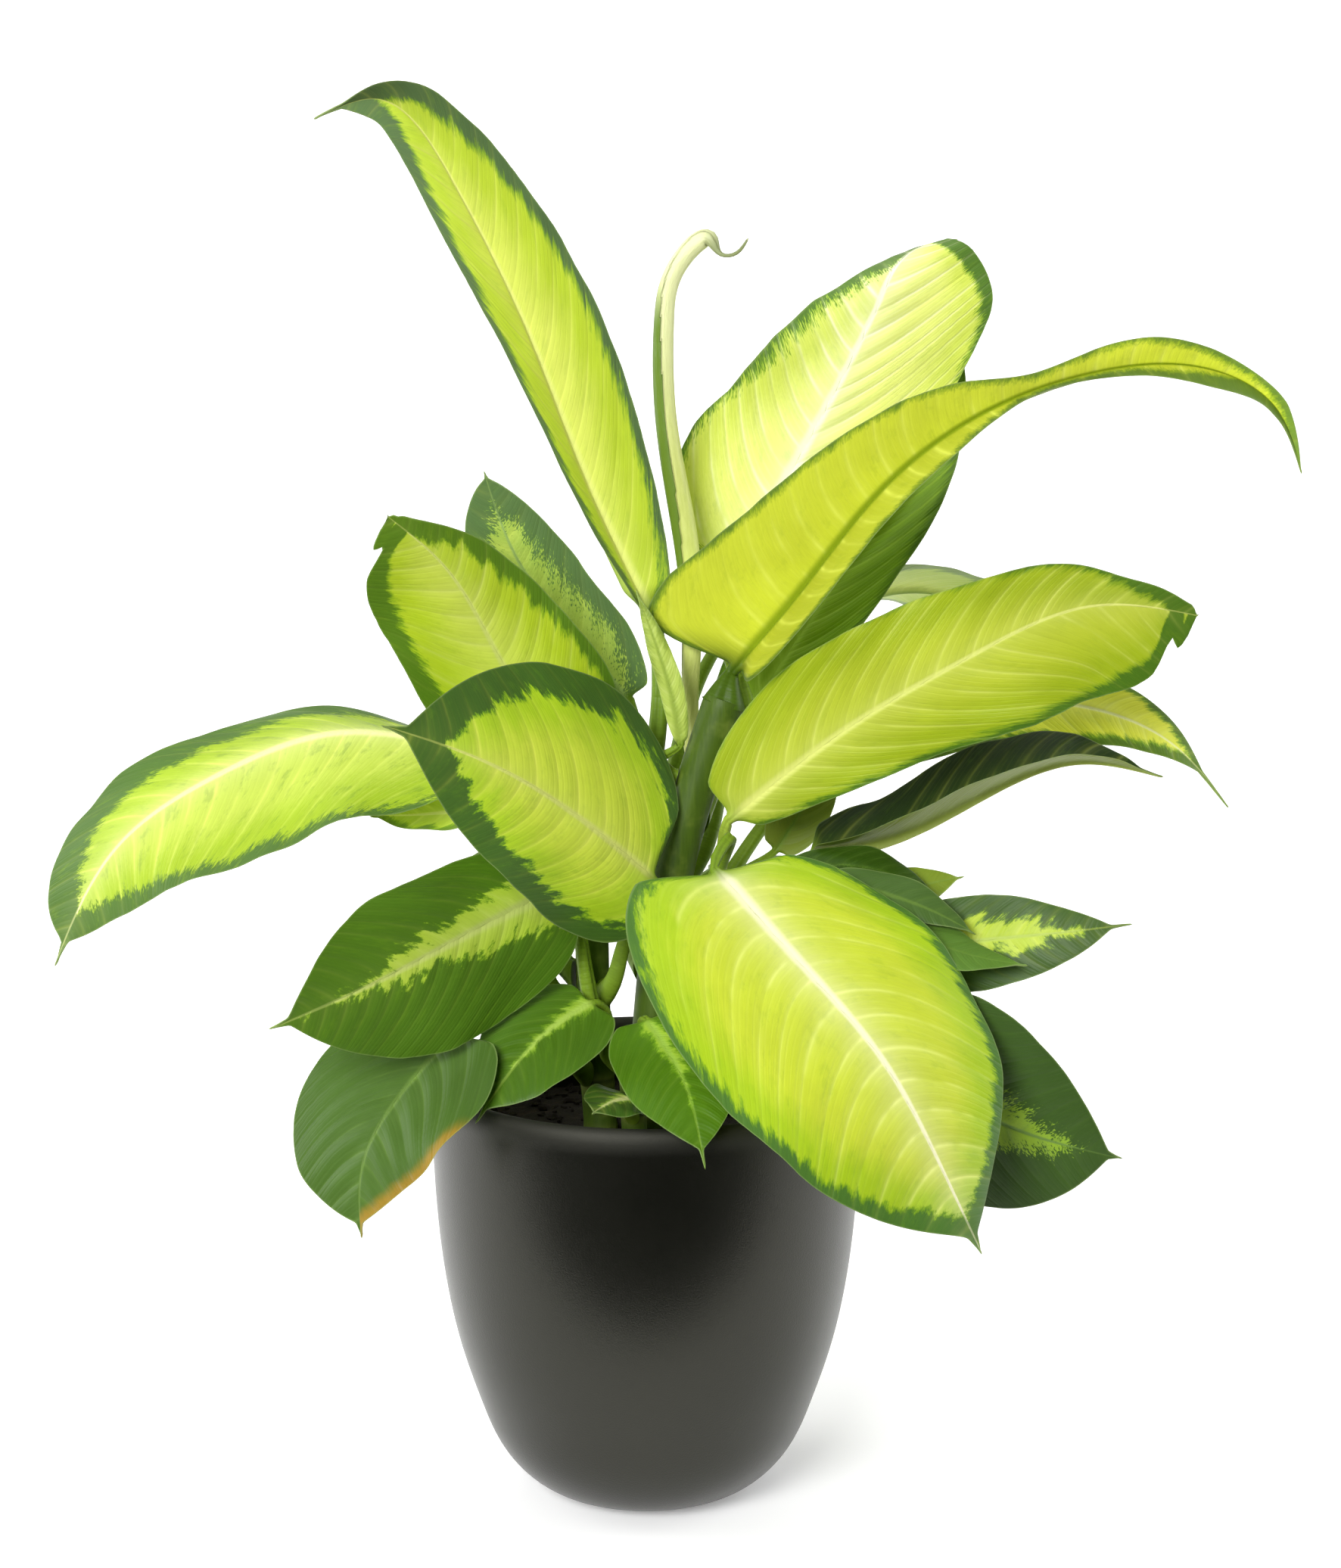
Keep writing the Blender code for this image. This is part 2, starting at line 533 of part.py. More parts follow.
def turned(name, profile, group, finish):
    """A profile of (radius, height) that starts and ends on the axis, turned round Z."""
    made = bmesh.new()
    points = [made.verts.new((r * MM, 0.0, z * MM)) for r, z in profile]
    for a, b in zip(points, points[1:]):
        made.edges.new((a, b))
    mesh = bpy.data.meshes.new(name)
    made.to_mesh(mesh)
    made.free()
    ob = add_object(name, mesh, group, finish)
    screw = ob.modifiers.new("turn", "SCREW")
    screw.steps = POT_SIDES
    screw.render_steps = POT_SIDES
    screw.use_merge_vertices = True
    screw.merge_threshold = 0.00001
    screw.use_smooth_shade = True
    return ob


def inner_wall():
    """Radius and height of the pot's inside, from its floor up."""
    heights = [z for z, _ in POT_OUTSIDE if z > POT_FLOOR + 5]
    z, r = zip(*POT_OUTSIDE)
    return [(float(np.interp(h, z, r)) - POT_WALL, h) for h in (POT_FLOOR + 4, *heights)]


def make_pot(group):
    """Turned pot: from the middle of its floor up the inside, over the lip, and down the outside."""
    inside = inner_wall()
    z, r = zip(*POT_OUTSIDE)
    rim, mouth = r[-1], inside[-1][0]
    turns = np.radians((0, 30, 60, 90))
    rise = POT_HEIGHT - z[-1]
    lip = [(LIP_ROUNDING * (1 - math.cos(a)), z[-1] + rise * math.sin(a)) for a in turns[1:]]
    inner_lip = [(mouth + inset, height) for inset, height in lip]
    outer_lip = [(rim - inset, height) for inset, height in lip[::-1]]
    floor = [(0, POT_FLOOR), (inside[0][0] - 6, POT_FLOOR)]
    outside = [(radius, height) for height, radius in POT_OUTSIDE[::-1]]
    finish = add_material("pot_matte_black", (0.012, 0.012, 0.013), 0.45)
    return turned("pot", floor + inside + inner_lip + outer_lip + outside + [(0, 0)], group, finish)


def make_soil(group, cutters):
    """Soil that fills the pot to a little under its rim, with a plain hole for each cane."""
    inside = inner_wall()
    r, z = zip(*inside)
    edge = float(np.interp(SOIL_EDGE, z, r)) - GAP
    wall = [(radius - GAP, height) for radius, height in inside[::-1] if height < SOIL_EDGE]
    dome = [(edge * k, SOIL_MIDDLE - (SOIL_MIDDLE - SOIL_EDGE) * k**2) for k in (0, 0.35, 0.7, 1)]
    bottom = [(inside[0][0] - 6 - GAP, POT_FLOOR + GAP), (0, POT_FLOOR + GAP)]
    soil = turned("soil", dome + wall + bottom, group, add_material("soil_dark", (0.03, 0.02, 0.014), 0.95))
    depth = SOIL_MIDDLE + 10 - CANE_BOTTOM + GAP
    for name, cane in CANES.items():
        x, y = cane["route"][0][:2]
        hole = bmesh.new()
        radius = (cane["radius"] + GAP) / math.cos(math.pi / CANE_SIDES)
        bmesh.ops.create_cone(hole, cap_ends=True, segments=CANE_SIDES, radius1=radius * MM,
                              radius2=radius * MM, depth=depth * MM)
        middle = np.array([x, y, CANE_BOTTOM - GAP + depth / 2]) * MM
        bmesh.ops.translate(hole, verts=hole.verts, vec=middle)
        mesh = bpy.data.meshes.new("hole_" + name)
        hole.to_mesh(mesh)
        hole.free()
        cutter = add_object("hole_" + name, mesh, cutters, None)
        cutter.hide_render = True
        cutter.display_type = "WIRE"
    cut = soil.modifiers.new("cane_holes", "BOOLEAN")
    cut.operation = "DIFFERENCE"
    cut.operand_type = "COLLECTION"
    cut.collection = cutters
    return soil


def make_cane(name, group, finish):
    """Fleshy cane: a round bar along its line, with filled ends."""
    line = cane_line(name) * MM
    curve = bpy.data.curves.new(name, "CURVE")
    curve.dimensions = "3D"
    curve.bevel_depth = CANES[name]["radius"] * MM
    curve.bevel_resolution = (CANE_SIDES - 4) // 2
    curve.use_fill_caps = True
    strand = curve.splines.new("POLY")
    strand.points.add(len(line) - 1)
    strand.points.foreach_set("co", np.column_stack([line, np.ones(len(line))]).ravel())
    return add_object(name, curve, group, finish)


def make_leaves(group, finish):
    for name, leaf in LEAVES.items():
        rings, upper = leaf_rings(leaf)
        loft(name, rings, upper, group, finish)


def make_rolled_leaf(group, finish):
    loft("leaf_rolled", rolled_rings(ROLLED_LEAF), ROLLED_LEAF["sides"], group, finish)


clear_scene()
plant = add_collection(NAME)
hole_cutters = add_collection("hole_cutters")
make_pot(plant)
make_soil(plant, hole_cutters)
cane_green = add_material("cane_green", (0.16, 0.22, 0.06), 0.45)
for cane_name in CANES:
    make_cane(cane_name, plant, cane_green)
leaf_green = add_material("leaf_green", (0.22, 0.32, 0.05), 0.42)
make_leaves(plant, leaf_green)
make_rolled_leaf(plant, leaf_green)
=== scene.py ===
"""Potted dieffenbachia: a matte black pot, its soil, five fleshy canes and the leaves on them.

Metres, +Z up, the pot's foot on the floor at the origin, -Y the front. Sizes are written in millimetres
at real size, and MM turns them into metres when a mesh is made.
"""

import math

import bpy
import numpy as np
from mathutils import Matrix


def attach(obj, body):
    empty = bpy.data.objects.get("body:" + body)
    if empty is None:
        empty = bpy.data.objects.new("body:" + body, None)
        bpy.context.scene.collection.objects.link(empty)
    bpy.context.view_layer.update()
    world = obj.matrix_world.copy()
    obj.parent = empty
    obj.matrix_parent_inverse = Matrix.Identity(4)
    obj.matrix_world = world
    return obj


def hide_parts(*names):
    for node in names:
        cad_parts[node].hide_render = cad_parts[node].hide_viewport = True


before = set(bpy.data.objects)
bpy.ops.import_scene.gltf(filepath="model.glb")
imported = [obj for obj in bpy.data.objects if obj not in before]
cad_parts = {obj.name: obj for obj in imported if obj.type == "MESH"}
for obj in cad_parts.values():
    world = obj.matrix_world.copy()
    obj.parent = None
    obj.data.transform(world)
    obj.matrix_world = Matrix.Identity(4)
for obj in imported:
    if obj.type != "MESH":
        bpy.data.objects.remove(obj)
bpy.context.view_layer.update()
MM = 0.001

# Pot. A thin-walled round planter of matte black plastic, turned in one piece: a flat foot, a belly that
# swells up to nearly straight walls, and a rounded lip.
POT_OUTSIDE = (
    (0, 38), (4, 49), (13, 61), (26, 70.5), (44, 78), (70, 86.5), (100, 93), (140, 97.5), (175, 99.2),
    (194, 100),
)
OUTSIDE_STEPS = 90
POT_HEIGHT = 200
LIP_FOOT = 194
POT_WALL = 8
POT_FLOOR = 10
POT_TURN = 192


def spline(points, where):
    """Natural cubic through the points; where runs from 0 to 1 along their chords."""
    p = np.asarray(points, float)
    t = chord_places(p)
    h = np.diff(t)
    last = len(t) - 1
    equations = np.eye(last + 1)
    bends = np.zeros_like(p)
    for i in range(1, last):
        equations[i, i - 1:i + 2] = h[i - 1], 2 * (h[i - 1] + h[i]), h[i]
        bends[i] = 6 * ((p[i + 1] - p[i]) / h[i] - (p[i] - p[i - 1]) / h[i - 1])
    m = np.linalg.solve(equations, bends)
    s = np.asarray(where, float)
    k = np.clip(np.searchsorted(t, s, side="right") - 1, 0, last - 1)
    step = h[k][:, None]
    after = (s - t[k])[:, None]
    before = (t[k + 1] - s)[:, None]
    return ((m[k] * before**3 + m[k + 1] * after**3) / (6 * step)
            + (p[k] / step - m[k] * step / 6) * before
            + (p[k + 1] / step - m[k + 1] * step / 6) * after)


def length_along(points):
    """Length along a line of points, from 0 at the first."""
    return np.concatenate([[0.0], np.cumsum(np.linalg.norm(np.diff(points, axis=0), axis=1))])


def chord_places(points):
    """Place of each point along the chords between them, from 0 to 1. Only x, y and z count."""
    t = length_along(np.asarray(points, float)[:, :3])
    return t / t[-1]


def turn_steps(count):
    """The angles of count equal steps round a full turn."""
    return np.arange(count) * 2 * np.pi / count


def new_object(name, data):
    made = bpy.data.objects.new(name, data)
    bpy.context.scene.collection.objects.link(made)
    return made


def add_piece(name, points, faces, finish, stands_for, slot, attributes=None):
    """A smooth mesh object from millimetre points and lists of faces, riding on the plant's one body."""
    mesh = bpy.data.meshes.new(name)
    mesh.from_pydata((points * MM).tolist(), [], faces)
    mesh.validate()
    for key, values in (attributes or {}).items():
        layer = mesh.attributes.new(key, "FLOAT_VECTOR", "POINT")
        layer.data.foreach_set("vector", values.astype(np.float32).ravel())
    mesh.shade_smooth()
    mesh.set_sharp_from_angle(angle=math.radians(50))
    mesh.materials.append(finish)
    made = new_object(name, mesh)
    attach(made, "root")
    if stands_for:
        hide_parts(*stands_for)


def capped(rings, ends):
    """The points of closed rings and one point past each end of them, and the quads and fans between them."""
    count, around = rings.shape[:2]
    k, i = np.meshgrid(np.arange(count - 1), np.arange(around), indexing="ij")
    j = (i + 1) % around
    quads = np.stack([k * around + i, k * around + j, (k + 1) * around + j, (k + 1) * around + i], -1)
    turn = np.arange(around)
    after = (turn + 1) % around
    start = (count - 1) * around
    first = np.stack([after, turn, np.full(around, start + around)], -1)
    last = np.stack([start + turn, start + after, np.full(around, start + around + 1)], -1)
    faces = [*quads.reshape(-1, 4).tolist(), *first.tolist(), *last.tolist()]
    return np.vstack([rings.reshape(-1, 3), ends]), faces


def turned(profile, around):
    """A profile of (radius, height) rows turned round Z: point = (r cos a, r sin a, z)."""
    a = turn_steps(around)
    r, z = profile[:, :1], profile[:, 1:]
    return np.stack([r * np.cos(a), r * np.sin(a), np.broadcast_to(z, (len(profile), around))], -1)


def is_socket(value):
    return isinstance(value, bpy.types.NodeSocket)


def add_node(tree, kind, inputs=None, **settings):
    """A shader node. Each input is a number or colour, or the socket of another node that it is linked to."""
    made = tree.nodes.new("ShaderNode" + kind)
    for key, value in settings.items():
        setattr(made, key, value)
    for socket, value in (inputs or {}).items():
        if is_socket(value):
            tree.links.new(value, made.inputs[socket])
        else:
            made.inputs[socket].default_value = value
    return made


def maths(operation, *values):
    """A Math node over numbers and sockets, in the sockets' own tree."""
    tree = next(value.id_data for value in values if is_socket(value))
    return add_node(tree, "Math", dict(enumerate(values)), operation=operation).outputs[0]


def scaled(value, factor, offset):
    """value factor + offset"""
    return maths("MULTIPLY_ADD", value, factor, offset)


def noise(where, scale, detail=2.0, roughness=0.5):
    inputs = {"Vector": where, "Scale": scale, "Detail": detail, "Roughness": roughness}
    return add_node(where.id_data, "TexNoise", inputs).outputs[0]


def blend(share, a, b, mode="MIX"):
    """Colour a where share is 0 and b where it is 1."""
    inputs = {0: share, 6: a if is_socket(a) else (*a, 1.0), 7: b if is_socket(b) else (*b, 1.0)}
    tree = next(value.id_data for value in (share, a, b) if is_socket(value))
    return add_node(tree, "Mix", inputs, data_type="RGBA", blend_type=mode).outputs[2]


def new_finish(name, specular, roughness=None):
    """A material, its node tree and its shader, with the values that are the same all over the surface."""
    made = bpy.data.materials.new(name)
    made.use_nodes = True
    shader = made.node_tree.nodes["Principled BSDF"]
    shader.inputs["Specular IOR Level"].default_value = specular
    if roughness is not None:
        shader.inputs["Roughness"].default_value = roughness
    return made, made.node_tree, shader


def raise_surface(shader, height, distance, strength=1.0):
    """Bump from a height between 0 and 1, which stands for distance in metres."""
    tree = shader.id_data
    bump = add_node(tree, "Bump", {"Height": height, "Distance": distance, "Strength": strength})
    tree.links.new(bump.outputs[0], shader.inputs["Normal"])


def pot_finish():
    made, tree, shader = new_finish("pot_matte_black", 0.58)
    shader.inputs["Specular Tint"].default_value = (1.0, 0.99, 0.84, 1.0)
    place = add_node(tree, "TexCoord").outputs["Object"]
    cloudy = noise(place, 22.0, 4.0, 0.6)
    grain = noise(place, 1400.0, 2.0, 0.6)
    colour = blend(cloudy, (0.0014, 0.0016, 0.0008), (0.0032, 0.0034, 0.002))
    tree.links.new(colour, shader.inputs["Base Color"])
    height = add_node(tree, "SeparateXYZ", {0: place}).outputs[2]
    duller_lip = {"Value": height, "From Min": 0.188, "From Max": 0.196, "To Min": 0.27, "To Max": 0.6}
    worn = add_node(tree, "MapRange", duller_lip).outputs[0]
    rough = scaled(cloudy, 0.07, worn)
    tree.links.new(rough, shader.inputs["Roughness"])
    raise_surface(shader, grain, 0.00008)
    return made


outside = spline([(r, z, 0) for z, r in POT_OUTSIDE], np.linspace(0, 1, OUTSIDE_STEPS))[::-1, :2]
lip_turn = np.radians(np.linspace(180, 0, 13))
lip_middle = POT_OUTSIDE[-1][1] - POT_WALL / 2
lip = np.column_stack([lip_middle + POT_WALL / 2 * np.cos(lip_turn),
                       LIP_FOOT + (POT_HEIGHT - LIP_FOOT) * np.sin(lip_turn)])
inner = outside[outside[:, 1] > POT_FLOOR + 5][::-1] - (POT_WALL, 0)
inner = np.vstack([[inner[0][0] - 6, POT_FLOOR], [inner[0][0] - 2, POT_FLOOR + 2], inner[:-1]])
pot_rings = turned(np.vstack([inner, lip, outside[1:]]), POT_TURN)
pot_points, pot_faces = capped(pot_rings, [[0, 0, POT_FLOOR], [0, 0, 0]])
add_piece("planter", pot_points, [face[::-1] for face in pot_faces], pot_finish(), ("pot",), "pot_black")

# Soil. Dark potting mix of peat and bark that fills the pot to a little under its rim, a lumpy bed with
# crumbs and bark chips lying on it. The canes stand in it.
SOIL_EDGE = 170
SOIL_MIDDLE = 175
SOIL_RADIUS = 90.6
SOIL_BOTTOM = 10.4
SOIL_UNDER_TOP = ((90.2, 140), (86, 90), (76, 45), (60, 14), (54, SOIL_BOTTOM))
SOIL_TURN = 144
CRUMBS = 420
CRUMBS_WITHIN = 88
CRUMB_SIDES = 8


def lumps(x, y, seed, size):
    """Smooth random height between -1 and 1: the mean of six sines that run different ways."""
    turn = np.random.default_rng(seed).uniform(0, 2 * np.pi, (6, 3))
    out = 0
    for k, (way, start, _) in enumerate(turn):
        span = size * (0.6 + 0.16 * k)
        out = out + np.sin((x * np.cos(way) + y * np.sin(way)) * 2 * np.pi / span + start)
    return out / 6


def smooth_step(value, low, high):
    """0 where the value is low and 1 where it is high, eased at both ends."""
    inputs = {"Value": value, "From Min": low, "From Max": high}
    return add_node(value.id_data, "MapRange", inputs, interpolation_type="SMOOTHSTEP").outputs[0]


def soil_finish():
    made, tree, shader = new_finish("soil_dark", 0.25, 0.95)
    place = add_node(tree, "TexCoord").outputs["Object"]
    fine = noise(place, 900.0, 5.0, 0.7)
    wide = noise(place, 90.0, 3.0, 0.6)
    colour = blend(fine, (0.004, 0.003, 0.002), (0.022, 0.015, 0.01))
    colour = blend(smooth_step(wide, 0.55, 0.7), colour, (0.03, 0.02, 0.012))
    tree.links.new(colour, shader.inputs["Base Color"])
    raise_surface(shader, fine, 0.0012)
    return made


def soil_bed():
    """Polar grid: height = middle - drop (r / radius)^2 + lumps, closed by rings along the pot's inside."""
    share = np.linspace(0.02, 1, 48)[:, None]
    a = turn_steps(SOIL_TURN)
    x, y = SOIL_RADIUS * share * np.cos(a), SOIL_RADIUS * share * np.sin(a)
    middle = SOIL_MIDDLE - 1.5
    z = middle - (SOIL_MIDDLE - SOIL_EDGE) * share**2
    z = z + 1.2 * lumps(x, y, 3, 26) + 0.8 * lumps(x, y, 4, 9)
    rings = np.vstack([np.stack([x, y, z], -1), turned(np.array(SOIL_UNDER_TOP), SOIL_TURN)])
    return capped(rings, [[0, 0, middle], [0, 0, SOIL_BOTTOM]])


def soil_crumbs():
    """Small closed lumps, each a ball of three rings squashed and turned at random, strewn over the bed."""
    rng = np.random.default_rng(11)
    r = CRUMBS_WITHIN * np.sqrt(rng.uniform(0.01, 0.98, CRUMBS))
    turn = rng.uniform(0, 2 * np.pi, CRUMBS)
    size = rng.uniform(0.8, 2.6, CRUMBS)
    height = SOIL_MIDDLE - 1.2 - (SOIL_MIDDLE - SOIL_EDGE) * (r / 90) ** 2 + 0.2 * size
    middle = np.stack([r * np.cos(turn), r * np.sin(turn), height], -1)
    lat = np.radians([-50, 0, 50])
    ball = turned(np.stack([np.cos(lat), np.sin(lat)], -1), CRUMB_SIDES)
    ball, one_crumb = capped(ball, [[0, 0, -1], [0, 0, 1]])
    stretch = rng.uniform(0.5, 1.6, (CRUMBS, 1, 3)) * (1, 1, 0.6)
    rough = 1 + 0.25 * rng.standard_normal((CRUMBS, len(ball), 1))
    spin = rng.uniform(0, 2 * np.pi, CRUMBS)
    c, s = np.cos(spin)[:, None], np.sin(spin)[:, None]
    shape = ball * stretch * rough * size[:, None, None]
    x, y, z = np.moveaxis(shape, -1, 0)
    shape = np.stack([x * c - y * s, x * s + y * c, z], -1)
    faces = [[p + k * len(ball) for p in face] for k in range(CRUMBS) for face in one_crumb]
    return (shape + middle[:, None]).reshape(-1, 3), faces


soil_dark = soil_finish()
add_piece("soil_bed", *soil_bed(), soil_dark, ("soil",), "soil")
add_piece("soil_crumbs", *soil_crumbs(), soil_dark, (), "soil")

# Canes. Fleshy green stems as thick as a finger, ringed where old leaves have dropped, each standing in its
# own hole in the soil.
CANE_BOTTOM = 112
CANE_RINGS = 130
CANE_TURN = 40
SCARS = 30
SCAR_GAPS = (15, 25)
SCAR_TOP = 225
SWELLING_LENGTH = 3.5
GROOVE_LENGTH = 0.9
canes = {
    "main": dict(radius=10, route=((0, 0, 175), (5, 3, 240), (14, 7, 300), (27, 9, 345), (36, 10, 372))),
    "left": dict(radius=8, route=((-21, -8, 175), (-24, -6, 230), (-25, 0, 285))),
    "right": dict(radius=8, route=((21, -8, 175), (26, -4, 225), (33, 4, 280))),
    "front": dict(radius=6, route=((-5, -31, 175), (-7, -32, 225))),
    "back": dict(radius=8, route=((2, 27, 175), (4, 33, 250), (6, 40, 320))),
}


def unit(v):
    return v / np.maximum(np.linalg.norm(v, axis=-1, keepdims=True), 1e-12)


def tangents(path):
    return unit(np.gradient(path, axis=0))


def carried(side, along, start):
    """A side vector carried along a line without turning about it, both ways from the point start."""
    out = np.zeros_like(along)
    out[start] = unit(side - along[start] * (side @ along[start]))
    for k in range(start + 1, len(along)):
        out[k] = unit(out[k - 1] - along[k] * (out[k - 1] @ along[k]))
    for k in range(start - 1, -1, -1):
        out[k] = unit(out[k + 1] - along[k] * (out[k + 1] @ along[k]))
    return out


def cane_line(cane, steps):
    """Points of a cane's middle line: straight down in the soil, then its route."""
    route = np.array(canes[cane]["route"], float)
    return np.vstack([[*route[0][:2], CANE_BOTTOM], spline(route, np.linspace(0, 1, steps + 1))])


def cane_at(cane, height):
    """A cane's middle point at a height, and its direction there."""
    line = cane_line(cane, 40)
    x, y = (np.interp((height - 5, height, height + 5), line[:, 2], line[:, i]) for i in (0, 1))
    return np.array([x[1], y[1], height]), unit(np.array([x[2] - x[0], y[2] - y[0], 10.0]))


def rings_round(path, size, side, top, section):
    """Rings round a line: path + size (side x + top y) for each point (x, y) of the section."""
    return path[:, None] + size[..., None] * (side[:, None] * section[:, :1] + top[:, None] * section[:, 1:])


def tube(path, size, start, around):
    """Round rings along a line that don't turn about it."""
    ways = tangents(path)
    side = carried(np.array([1.0, 0, 0]), ways, start)
    a = turn_steps(around)
    return rings_round(path, size, side, np.cross(ways, side), np.stack([np.cos(a), np.sin(a)], -1))


def attribute_parts(tree, name):
    """The three numbers that a mesh carries at each point under this name."""
    vector = add_node(tree, "Attribute", attribute_name=name).outputs["Vector"]
    return add_node(tree, "SeparateXYZ", {0: vector}).outputs


def cane_finish():
    made, tree, shader = new_finish("cane_green", 0.22, 0.5)
    place = add_node(tree, "TexCoord").outputs["Object"]
    swollen, grooved, _ = attribute_parts(tree, "cane_marks")
    stretched = add_node(tree, "Mapping", {"Vector": place, "Scale": (1, 1, 0.12)}).outputs[0]
    streak = noise(stretched, 420.0, 3.0, 0.6)
    blotch = noise(place, 60.0, 3.0, 0.6)
    colour = blend(streak, (0.028, 0.062, 0.004), (0.085, 0.145, 0.01))
    colour = blend(smooth_step(blotch, 0.5, 0.75), colour, (0.12, 0.175, 0.022))
    colour = blend(swollen, colour, (0.18, 0.21, 0.05))
    colour = blend(grooved, colour, (0.02, 0.04, 0.005))
    tree.links.new(colour, shader.inputs["Base Color"])
    raise_surface(shader, streak, 0.0003)
    return made


def cane_mesh(cane, seed):
    """A tube: size = radius (0.96 + swelling - groove at each scar below SCAR_TOP), blunt at its top."""
    radius = canes[cane]["radius"]
    line = spline(cane_line(cane, 90), np.linspace(0, 1, CANE_RINGS))
    length = length_along(line)
    scars = np.cumsum(np.random.default_rng(seed).uniform(*SCAR_GAPS, SCARS))
    away = length[:, None] - scars
    old = np.clip((SCAR_TOP - line[:, 2]) / 15, 0, 1)
    swell = np.exp(-(away / SWELLING_LENGTH) ** 2).sum(1) * old
    groove = np.exp(-(away / GROOVE_LENGTH) ** 2).sum(1) * old
    size = radius * (0.96 + 0.05 * swell - 0.05 * groove)
    end = np.clip((length[-1] - length) / (0.45 * radius), 0, 1)
    # The main cane carries a leaf on its end, so it stays nearly as wide there.
    blunt = 0.12 if cane == "main" else 0.75
    size = size * np.sqrt(1 - blunt * (1 - end) ** 2)
    points, faces = capped(tube(line, size[:, None], 0, CANE_TURN), [line[0], line[-1]])
    marks = np.zeros((len(line), CANE_TURN, 3))
    marks[..., 0] = np.clip(swell, 0, 1)[:, None] * 0.8
    marks[..., 1] = np.clip(groove, 0, 1)[:, None]
    return points, faces, np.vstack([marks.reshape(-1, 3), np.zeros((2, 3))])


cane_green = cane_finish()
for seed, cane_name in enumerate(canes):
    cane_points, cane_faces, cane_marks = cane_mesh(cane_name, seed)
    add_piece("stem_" + cane_name, cane_points, cane_faces, cane_green, ("cane_" + cane_name,), "cane_green",
              {"cane_marks": cane_marks})

# Tall leaf at the top left. Each leaf is one thin blade on a round grooved stalk that leaves its cane, with a
# rib under its middle line and side veins that arch from the rib towards the tip. This one stands up, arches
# over at the top and folds its left half back. Lime with a grey-green margin.
GAP = 0.3
SHEATH = 2.5
FOOT_REACH = 7
TIP_HALF_WIDTH = 0.8
TIP_POINT = 1.2
FRAME_STEPS = 200
STALK_RINGS = 18
VEIN_WANDER = 3.2
SPANS = dict(edge=34, fine_edge=9, wander=40, swelling=34, flutter=42)
EDGE_HALF_THICKNESS = 0.06
ADDED_IN_MIDDLE = 0.34
ROUND_UNTIL = 0.055
VEIN_LINE = 1.8
VEINS_FADE = 24.0

# The values of a leaf. One that differs by side is a pair, left and right, as seen on the upper face with the
# tip up. Places run from 0 at the blade's foot to 1 at its tip.
PLAIN_LEAF = dict(
    stalk=(),  # points of the stalk's line between its foot and the blade
    radii=(4.5, 2.4),  # the stalk's, at its foot and at the blade
    half=40,  # half the blade's greatest width
    widest=0.42,  # place of that width
    tip=(2.2, 0.95),  # powers a and b of the taper (1 - after^a)^b from there on
    tail=0.035,  # share of the rib that runs on past the taper as a thin point
    lobe=3,  # how far the edge is drawn back towards the stalk
    lobe_place=0.1,  # place where it is drawn back most
    foot_round=2.3,  # power c of the round foot (1 - before^c)^0.5
    flare=0.35,  # share by which the stalk widens at its foot
    fold=(0, 0, 0, 0),  # degrees that the left and right side fold up, at the foot and then at the tip
    curl=0.0,  # rise of each side in a curve, as a share of its width
    wave=(1, 2, 0.2),  # height, number and start of the even waves along the edge
    flutter=1.0,  # strength of the uneven ones
    ragged=0.6,  # how far the outline wanders
    bend=None,  # a roll back over itself, across a line
    notch=(),  # side, place, length and depth of each bite out of the outline, or bulge where below 0
    vein_gap=15.0,  # from one side vein to the next
    vein_lean=(0.5, 0.85),  # how far the side veins lean to the tip at the rib, and bend to it further out
    quilt=0.22,  # height of the swelling between them
    margin=6,  # width of the dark margin
    margin_foot=0.6,  # share of it at the foot
    margin_tip=6.0,  # added to it at the tip
    reach=None,  # how far the pale part reaches from the rib, where it stops short of the margin
    reach_end=0.9,  # place where it then ends
    dry=None,  # side, first and last place, and width of a dried edge
)

# The look of a leaf. Colours are written with 0 to 255 a channel, as on a screen.
PLAIN_LOOK = dict(
    dark=(74, 112, 38),  # the margin
    mid=(120, 160, 38),  # where the margin ends
    lime=(184, 208, 48),  # the pale part
    pale=(212, 226, 84),  # the pale part far from the margin
    rib=(236, 240, 160),
    vein=(228, 236, 110),
    veins=0.42,  # strength of the vein lines
    halo=0.18,  # strength of the paler bands along them
    glow=0.45,  # strength of the rib's colour on the blade beside it
    glow_width=5.0,  # distance from the rib over which that halves
    finger=5.0,  # how far margin and middle reach into each other along the veins
    speckle=0.8,  # how far small spots of each lie in the other
    rib_width=1.2,
    relief=-0.25,  # bump of the vein lines, sunk where below 0
    mottle=0.18,  # strength of the green streaks in the pale part
    painted_side_shading=(1.0, 1.0),  # painted light and shade: brightness of the left and right side
    tip_tone=1.0,  # brightness of the tip
    edge=(150, 170, 105),
    edge_share=0.35,
    under=(160, 180, 95),
    under_share=0.45,
    under_rib=(150, 175, 80),
    stalk=(112, 140, 36),
    dry=(158, 124, 40),
    roughness=0.42,
)


def direction(azimuth, height):
    """Unit vector. Azimuth 0 looks to -Y and 90 to +X. Height is degrees above level."""
    a, e = math.radians(azimuth), math.radians(height)
    return np.array([math.sin(a) * math.cos(e), -math.cos(a) * math.cos(e), math.sin(e)])


def foot_of(cane, height=None, azimuth=None):
    """Where a stalk starts, clear of its cane, and the way it leaves: off the cane's side, or on its end."""
    if height is None:
        line = cane_line(cane, 40)
        away = unit(line[-1] - line[-2])
        return line[-1] - SHEATH * away, away
    middle, along = cane_at(cane, height)
    away = direction(azimuth, 0)
    away = unit(away - along * (away @ along))
    return middle + (canes[cane]["radius"] + GAP) * away, away


